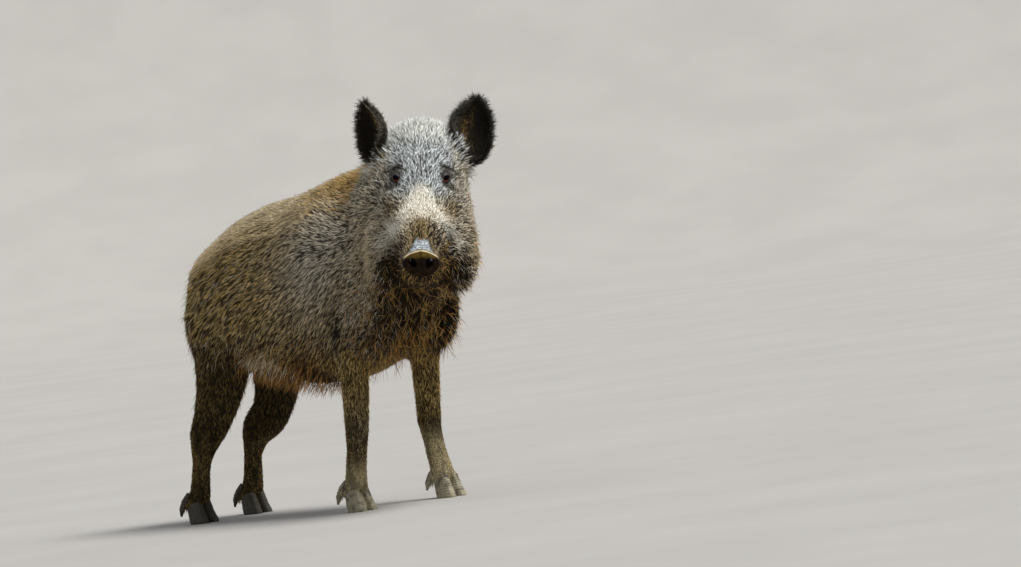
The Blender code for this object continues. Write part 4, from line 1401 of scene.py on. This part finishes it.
def tuft_mesh(name, roots, normals, lie, length, width, lift, bend, rings, spot, notes, droop=0.0):
    """Closed slender tufts: a root point, rings of three corners and a tip."""
    count, size = len(roots), 2 + 3 * rings
    side = np.cross(normals, lie)
    centres, ways = tuft_centres(roots, normals, lie, length, lift, bend, droop, rings + 1)
    points = np.empty((count, size, 3))
    along = np.zeros((count, size))
    sideways = np.zeros((count, size))
    for ring in range(rings):
        thick = TUFT_TAPER[rings][ring] * width / 2
        up = np.cross(ways[ring], side)
        up = unit(up * np.sign((up * normals).sum(1, keepdims=True) + 1e-9))
        for corner, (out, high) in enumerate(((-1.0, -0.35), (1.0, -0.35), (0.0, 0.75)), 1 + 3 * ring):
            shift = side * (out * thick)[:, None] + up * (high * thick)[:, None]
            points[:, corner] = centres[ring + 1] + shift
            along[:, corner] = (ring + 1) / (rings + 1)
            sideways[:, corner] = out
    points[:, 0] = centres[0]
    points[:, -1] = centres[-1]
    along[:, -1] = 1.0
    faces = (tuft_faces(rings)[None] + (np.arange(count) * size)[:, None, None]).reshape(-1, 3)
    mesh = bpy.data.meshes.new(name)
    mesh.vertices.add(count * size)
    mesh.loops.add(len(faces) * 3)
    mesh.polygons.add(len(faces))
    mesh.vertices.foreach_set("co", points.astype(np.float32).ravel())
    mesh.polygons.foreach_set("loop_start", np.arange(0, len(faces) * 3, 3, dtype=np.int32))
    mesh.loops.foreach_set("vertex_index", faces.astype(np.int32).ravel())
    mesh.update(calc_edges=True)
    patch = np.stack((sideways / 2, along - 0.5), 2) * MAP_PATCH + spot[:, None]
    layer = mesh.uv_layers.new(name="OFBake")
    layer.uv.foreach_set("vector", patch.reshape(-1, 2)[faces.ravel()].astype(np.float32).ravel())
    note(mesh, "along", "FLOAT", along.ravel())
    for word, values in notes.items():
        kind = "FLOAT" if values.ndim == 1 else "FLOAT_COLOR"
        note(mesh, word, kind, np.repeat(values, size, axis=0))
    return mesh


def lay_coat(name, finish, **parts):
    """Adds one piece of the coat."""
    if not len(parts["roots"]):
        raise RuntimeError(name + " has no tufts")
    mesh = tuft_mesh(name, **parts)
    dress(mesh, finish)
    piece = show(name, mesh)
    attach(piece, "root")


def parted(words, picked):
    """The same words with only the picked tufts."""
    chosen = {}
    for word, values in words.items():
        if isinstance(values, dict):
            values = parted(values, picked)
        elif isinstance(values, np.ndarray):
            values = values[picked]
        chosen[word] = values
    return chosen


PARTS = (  # name of a piece of the coat, and where it grows; a tuft goes to the first that takes it
    ("coat_muzzle", lambda q: (q.fore > -0.01) & (q.along > 0.065)),
    ("coat_forehead", lambda q: (q.fore > -0.115) & (q.flat < 0.13) & (q.along < 0.065) & (q.up > -0.02)),
    ("coat_cheeks", lambda q: (q.fore > -0.115) & (q.up > -0.30)),
    ("coat_neck_left", lambda q: (q.x > 0.33) & (q.z > 0.42) & (q.y > 0)),
    ("coat_neck_right", lambda q: (q.x > 0.33) & (q.z > 0.42)),
    ("coat_forelegs", lambda q: (q.x > 0.15) & (q.z < 0.40)),
    ("coat_hindlegs", lambda q: (q.x < -0.02) & (q.z < 0.44 - 0.2 * (q.x + 0.2))),
    ("coat_shoulder_left", lambda q: (q.x > 0.15) & (q.y > 0)),
    ("coat_shoulder_right", lambda q: (q.x > 0.15)),
    ("coat_flank_left", lambda q: (q.x > -0.08) & (q.y > 0)),
    ("coat_flank_right", lambda q: (q.x > -0.08)),
    ("coat_rump_left", lambda q: q.y > 0),
    ("coat_rump_right", lambda q: q.y < 1),
)


class BOAR_OT_coat(bpy.types.Operator):
    """Cover the body, legs and face with tufts that follow the lie of the hair"""

    bl_idname = "boar.coat"
    bl_label = "Coat"

    def execute(self, context):
        coat = context.scene.boar_coat
        draws = np.random.default_rng(coat.seed)
        hide = Hide()
        faces = hide.faces()
        crowd = coat_at(faces)[0][:, CROWD] * coat.fullness
        crowd *= hide.on_faces("ear") < 0.5
        crowd *= 1 - rise(hide.on_faces("bare"), 0.3, 0.8)
        crowd *= faces.z > HOOF_TOP
        crowd *= from_point(hide.middle, DISC_AT) > COAT_CLEAR
        roots = Roots(hide, crowd, draws)
        count, points, normals = roots.count, roots.points, roots.normals
        q = Place(points, normals)
        sizes, dark, pale = coat_at(q)
        head_of, shared = locks(points, TUFTS_IN_LOCK, draws)
        guard = draws.random(count) < GUARD_SHARE * sizes[:, PALE_SHARE]
        length = sizes[:, LENGTH] * coat.length * (0.78 + 0.44 * draws.random(count))
        width = sizes[:, WIDTH] * coat.thickness * (0.75 + 0.5 * draws.random(count) + 0.25 * guard)
        sway = (grain(points, 0.07, 41) - 0.5) * 1.1 + (grain(points, 0.022, 42) - 0.5) * 0.9
        turn = sizes[:, SWERVE] * (draws.normal(0, 1.0, count) + 1.5 * sway)
        lie = swerved(lie_at(q), normals, turn)
        pull = points[head_of] - points
        lie = along_skin(lie + pull * (LOCK_PULL / sizes[:, LENGTH])[:, None], normals)
        reach = np.where(guard, 0.95 + 0.15 * draws.random(count), 0.42 + 0.42 * draws.random(count))
        reach *= sizes[:, DEPTH] / length
        bend = USUAL_BEND * (0.4 + 0.8 * draws.random(count))
        lift = np.arcsin(np.clip(reach, 0.03, 0.85)) + bend / 2
        chance = 0.75 * draws.random(count) + 0.25 * shared
        bright = 0.06 + 0.94 * rise(0.80 * sizes[:, PALE_SHARE] - chance, -0.07, 0.09)
        fade = 0.50 - 0.35 * rise(sizes[:, PALE_SHARE], 0.6, 1.0)
        bright = np.where(guard, 1.0, bright * (1 - fade * draws.random(count)))
        dark *= (0.8 + 0.4 * shared)[:, None]
        notes = {"chance": bright, "dark_hair": dark, "pale_hair": pale}
        parts = roots.parts(lie, ROOTS_SUNK, length=length, width=width, lift=lift, bend=bend, rings=1,
                            notes=notes)
        finish = hair_finish()
        left = np.ones(count, bool)
        for name, here in PARTS:
            picked = left & here(q)
            left &= ~picked
            lay_coat(name, finish, **parted(parts, picked))
        return {"FINISHED"}


# Each row: name, where, tufts on a square metre, length and width in millimetres, lift and bend in
# degrees, droop, swerve in degrees, colour near the root, colour of the tip
LONG_HAIR = (
    ("hair_throat", lambda q: np.maximum(on_throat(q), on_chin(q)) * rise(-0.03 - q.fore, 0, 0.03),
     8000, 52, 1.1, 40, 50, 0.5, 58, "rust*0.3", "straw*1.8+rust*0.4"),
    ("hair_chest_dark", on_throat, 20000, 42, 1.9, 24, 26, 0.5, 26, "soot", "root*1.4"),
    ("hair_chin", lambda q: on_chin(q) * rise(q.fore, -0.04, 0.0), 22000, 26, 1.0, 42, 30, 0.4, 50,
     "rust*0.3", "straw*1.6+rust*0.3"),
    ("hair_belly", on_belly, 11000, 58, 1.4, 50, 30, 0.9, 40, "soot*0.6+rust*0.1", "straw*0.7+rust*0.9"),
    ("hair_fold", on_fold_edge, 20000, 44, 1.7, 58, 24, 0.55, 34, "straw*0.6", "cream+straw*0.8"),
    ("hair_fringe", on_fringe, 32000, 34, 1.3, 46, 30, 0.15, 40, "root*0.4", "straw*1.2+cream*0.8"),
    ("hair_crown", on_crown, 20000, 27, 1.2, 46, 26, 0.0, 30, "silver*0.4", "frost*1.2"),
    ("hair_crown_side", on_crown_side, 60000, 29, 1.7, 62, 12, 0.0, 20, "silver*0.6", "frost*1.2"),
    ("hair_cheek", on_cheeks, 16000, 30, 1.2, 36, 26, 0.1, 36, "root*1.6", "silver*1.4"),
    ("hair_moustache", lambda q: on_moustache(q) * rise(-q.up, 0.08, 0.125), 8000, 20, 1.1, 40, 20,
     0.1, 28, "straw*0.8", "cream*1.5"),
    # takes the coat's colours, with the back's painted light from above
    ("hair_back", lambda q: on_back(q) * (1 - on_head_all(q)), 10000, 42, 1.6, 27, 12, 0.05, 16,
     "", ""),
    ("hair_nape", on_nape, 22000, 46, 1.6, 27, 14, 0.05, 20, "root", "straw*1.5+rust*0.25"),
    ("hair_side", lambda q: (1 - on_head_all(q)) * rise(q.z, 0.36, 0.44), 4500, 38, 1.5, 27, 16, 0.15,
     22, "root*1.6", "silver*1.2+straw*0.3"),
    ("hair_rump", on_rump_edge, 22000, 40, 1.3, 50, 20, 0.1, 28, "root", "silver*1.4"),
    ("hair_thigh", lambda q: on_hindlegs(q) * rise(q.z, 0.20, 0.30), 6000, 26, 1.4, 32, 16, 0.3, 18,
     "root*0.7", "straw*0.6"),
    ("hair_foreleg", lambda q: on_forelegs(q) * rise(q.z, 0.18, 0.26), 8000, 22, 1.2, 28, 14, 0.3, 16,
     "root", "straw*0.8"),
    ("hair_tail", on_tail, 45000, 62, 1.9, 12, 10, 0.5, 12, "soot", "root*1.5"),
    ("hair_ear_root", on_ear_root, 90000, 44, 1.4, 42, 16, 0.1, 18, "straw*0.4", "cream"),
    ("hair_coronet", on_coronet, 95000, 21, 1.8, 12, 6, 0.45, 13, "", ""),
)


class BOAR_OT_long_hair(bpy.types.Operator):
    """Add the long hairs of the throat, belly, fringe, crown, back and tail"""

    bl_idname = "boar.long_hair"
    bl_label = "Long hair"

    def execute(self, context):
        coat = context.scene.boar_coat
        draws = np.random.default_rng(coat.seed + 1)
        hide = Hide()
        faces = hide.faces()
        grown = (hide.on_faces("ear") < 0.5) & (hide.on_faces("bare") < 0.4)
        grown &= from_point(hide.middle, DISC_AT) > LONG_CLEAR
        finish = bpy.data.materials["bristle_coat"]
        for name, where, crowd, length, width, lift, bend, droop, swerve, near, far in LONG_HAIR:
            roots = Roots(hide, where(faces) * grown * crowd * coat.fullness, draws)
            count, normals = roots.count, roots.normals
            q = Place(roots.points, normals)
            lie = swerved(lie_at(q), normals, math.radians(swerve) * draws.normal(0, 1, count))
            wave = 0.75 + 0.25 * (grain(roots.points, 0.02, 51) + draws.random(count))
            if near:
                dark = np.tile(mixed_colour(near, coat), (count, 1))
                pale = np.tile(capped(mixed_colour(far, coat)), (count, 1))
            else:
                _, dark, pale = coat_at(q)
            notes = {"chance": 0.20 + 0.90 * draws.random(count), "dark_hair": dark, "pale_hair": pale}
            parts = roots.parts(
                lie,
                LONG_ROOTS_SUNK,
                length=length * MILLIMETRE * coat.length * wave,
                width=width * MILLIMETRE * coat.thickness * (0.8 + 0.4 * draws.random(count)),
                lift=np.radians(lift * (0.7 + 0.6 * draws.random(count))),
                bend=np.radians(bend * (0.6 + 0.8 * draws.random(count))),
                droop=droop,
                rings=2,
                notes=notes,
            )
            lay_coat(name, finish, **parts)
        return {"FINISHED"}


EAR_CROWD, EDGE_CROWD = 165000, 190000  # tufts on a square metre of the ears, and more at the edge
EAR_LENGTH, EDGE_LENGTH = 0.010, 0.0095  # the same for the length of a tuft
EAR_TUFT_WIDTH = 0.00118


class BOAR_OT_ear_hair(bpy.types.Operator):
    """Cover both sides of the ears and fringe their edges"""

    bl_idname = "boar.ear_hair"
    bl_label = "Ear hair"

    def execute(self, context):
        coat = context.scene.boar_coat
        draws = np.random.default_rng(coat.seed + 2)
        hide = Hide()
        crowd = (hide.on_faces("ear") > 0.5) * (EAR_CROWD + EDGE_CROWD * hide.on_faces("edge"))
        roots = Roots(hide, crowd * coat.fullness, draws)
        count, normals = roots.count, roots.normals
        rim, height, inner, lie = (roots.read(hide.stored[w]) for w in ("edge", "height", "inner", "lie"))
        turn = np.radians(13 + 12 * rim) * draws.normal(0, 1, count)
        lie = swerved(along_skin(lie, normals), normals, turn)
        on_left = (Place(roots.points, normals).left > 0)[:, None]
        opening = np.where(on_left, np.array(ear_opening("left")), np.array(ear_opening("right")))
        inside = rise((normals * opening).sum(1), -0.1, 0.3)
        length = (EAR_LENGTH + EDGE_LENGTH * rim) * (0.6 + 0.8 * draws.random(count)) * coat.length
        streaks = rise(grain(roots.points * np.array((1.0, 1.0, 0.25)), 0.008, 61), 0.40, 0.65)
        brown = inside * (1 - rim) * rise(height, 0.02, 0.25) * rise(0.90 - height, 0.0, 0.4)
        brown *= rise(inner, -0.35, 0.25) * (0.25 + 0.75 * streaks)
        # Painted sheen: pale silver tips on the inner front rim, and half as strong on the back of the ear,
        # stand in for light falling there.
        lit = np.maximum(rise(inner, 0.25, 0.85), 0.5 * (1 - inside)) * rise(height, 0.2, 0.4)
        low = (1 - inside) * rise(0.35 - height, 0.0, 0.3)
        soot = np.array(coat.soot)
        pale = soot * 3.0
        for part, words in ((brown, "straw*0.75+rust*0.25"), (lit, "silver*0.34"), (low, "silver*0.5")):
            pale = pale + part[:, None] * (mixed_colour(words, coat) - pale)
        # Painted light: the right ear lies in shade, so its hair is painted 1.9 times brighter than the
        # left ear's.
        shade = np.where(on_left, 1.0, 1.9)
        parts = roots.parts(
            lie,
            EAR_ROOTS_SUNK,
            length=length,
            width=EAR_TUFT_WIDTH * (0.8 + 0.4 * draws.random(count)),
            lift=np.radians(16 + 12 * draws.random(count)),
            bend=np.radians(12 * draws.random(count)),
            rings=1,
            notes={
                "chance": 0.15 + 0.85 * draws.random(count) ** 1.6,
                "dark_hair": shade * soot * 1.5,
                "pale_hair": pale * shade,
            },
        )
        lay_coat("ear_hair", bpy.data.materials["bristle_coat"], **parts)
        return {"FINISHED"}


# ---------------------------------------------------------------- studio
CAMERA_AT = Vector((11.14683154, -10.0350645, 0.74384088))  # from the ground under the withers
CAMERA_TURN = math.radians(46.0)
CAMERA_RISE = math.radians(1.0)
CAMERA_ROLL = math.radians(7.5)
CAMERA_LENS = 220.37
SUN_FROM = Vector((0.50, 0.14, 0.86))
SUN_WIDE = math.radians(26)
SUN_COLOUR = (1.0, 0.975, 0.94)
SKY_COLOUR = (0.94, 0.97, 1.0, 1.0)


def set_camera():
    """Puts the camera where the visitor stands, turned, raised and rolled."""
    turn, lift = CAMERA_TURN, CAMERA_RISE
    back = Vector((math.sin(turn) * math.cos(lift), -math.cos(turn) * math.cos(lift), math.sin(lift)))
    right = Vector((math.cos(turn), math.sin(turn), 0.0))
    up = back.cross(right)
    along = right * math.cos(CAMERA_ROLL) - up * math.sin(CAMERA_ROLL)
    over = right * math.sin(CAMERA_ROLL) + up * math.cos(CAMERA_ROLL)
    turned = Matrix((along, over, back)).transposed()
    data = bpy.data.cameras.new("view")
    data.lens = CAMERA_LENS
    data.sensor_width = 36.0
    data.clip_end = 200.0
    camera = show("view", data)
    camera.matrix_world = Matrix.Translation(CAMERA_AT + GROUND_AT) @ turned.to_4x4()
    bpy.context.scene.camera = camera


def floor_mesh():
    """A wide round floor that turns up into a backdrop far behind the animal."""
    profile = [(2.0, 0.0), (8.0, 0.0), (20.0, 0.0)]
    profile += [(20 + 10 * math.sin(a), 10 - 10 * math.cos(a)) for a in np.linspace(0.1, 1.5, 14)]
    turns = np.linspace(0, 2 * math.pi, 96, endpoint=False)
    bm = bmesh.new()
    rings = [
        [bm.verts.new((radius * math.cos(t), radius * math.sin(t), height)) for t in turns]
        for radius, height in profile
    ]
    bm.faces.new(rings[0])
    span_rings(bm, rings[::-1])
    mesh = bpy.data.meshes.new("studio_floor")
    bm.to_mesh(mesh)
    bm.free()
    return mesh


class BOAR_OT_studio(bpy.types.Operator):
    """Lay the pale floor and set the lights and the camera"""

    bl_idname = "boar.studio"
    bl_label = "Studio"

    def execute(self, context):
        studio = context.scene.boar_studio
        look = Finish("studio_paper")
        tint = look.span(look.noise(1.5, 2.0), 0.3, 0.7, 0.97, 1.03)
        look.colour(look.mix(1.0, tone(studio.paper), tint, "MULTIPLY"))
        look.even(Roughness=0.9)
        mesh = floor_mesh()
        dress(mesh, look.material)
        floor = show("studio_floor", mesh)
        floor.location.z = GROUND_AT.z
        sun = bpy.data.lights.new("sun", "SUN")
        sun.energy = studio.key
        sun.angle = SUN_WIDE
        sun.color = SUN_COLOUR
        show("sun", sun).rotation_euler = SUN_FROM.to_track_quat("Z", "Y").to_euler()
        world = bpy.data.worlds.new("sky")
        world.use_nodes = True
        back = world.node_tree.nodes["Background"]
        back.inputs["Color"].default_value = SKY_COLOUR
        back.inputs["Strength"].default_value = studio.sky
        context.scene.world = world
        context.scene.view_settings.view_transform = "Standard"
        set_camera()
        return {"FINISHED"}


# ---------------------------------------------------------------- panel and start
PIECES = (
    BOAR_OT_skin,
    BOAR_OT_eyes,
    BOAR_OT_snout,
    BOAR_OT_hooves,
    BOAR_OT_coat,
    BOAR_OT_long_hair,
    BOAR_OT_ear_hair,
    BOAR_OT_studio,
)
SETTINGS = {
    "boar_skin": BoarSkin,
    "boar_coat": BoarCoat,
    "boar_eyes": BoarEyes,
    "boar_snout": BoarSnout,
    "boar_hooves": BoarHooves,
    "boar_studio": BoarStudio,
}


class BOAR_PT_panel(bpy.types.Panel):
    """The pieces of the boar and their sizes and colours"""

    bl_idname = "BOAR_PT_panel"
    bl_label = "Wild boar"
    bl_space_type = "VIEW_3D"
    bl_region_type = "UI"
    bl_category = "Wild boar"

    def draw(self, context):
        for piece in PIECES:
            self.layout.operator(piece.bl_idname)
        for name, group_class in SETTINGS.items():
            box = self.layout.box()
            for word in group_class.__annotations__:
                box.prop(getattr(context.scene, name), word)


def register():
    for name, group_class in SETTINGS.items():
        bpy.utils.register_class(group_class)
        setattr(bpy.types.Scene, name, PointerProperty(type=group_class))
    for piece in (*PIECES, BOAR_PT_panel):
        bpy.utils.register_class(piece)


def unregister():
    for piece in (BOAR_PT_panel, *reversed(PIECES)):
        bpy.utils.unregister_class(piece)
    for name, group_class in SETTINGS.items():
        delattr(bpy.types.Scene, name)
        bpy.utils.unregister_class(group_class)


def main():
    register()
    for piece in PIECES:
        part = piece.bl_idname.partition(".")[2]
        getattr(bpy.ops.boar, part)()


if __name__ == "__main__":
    main()
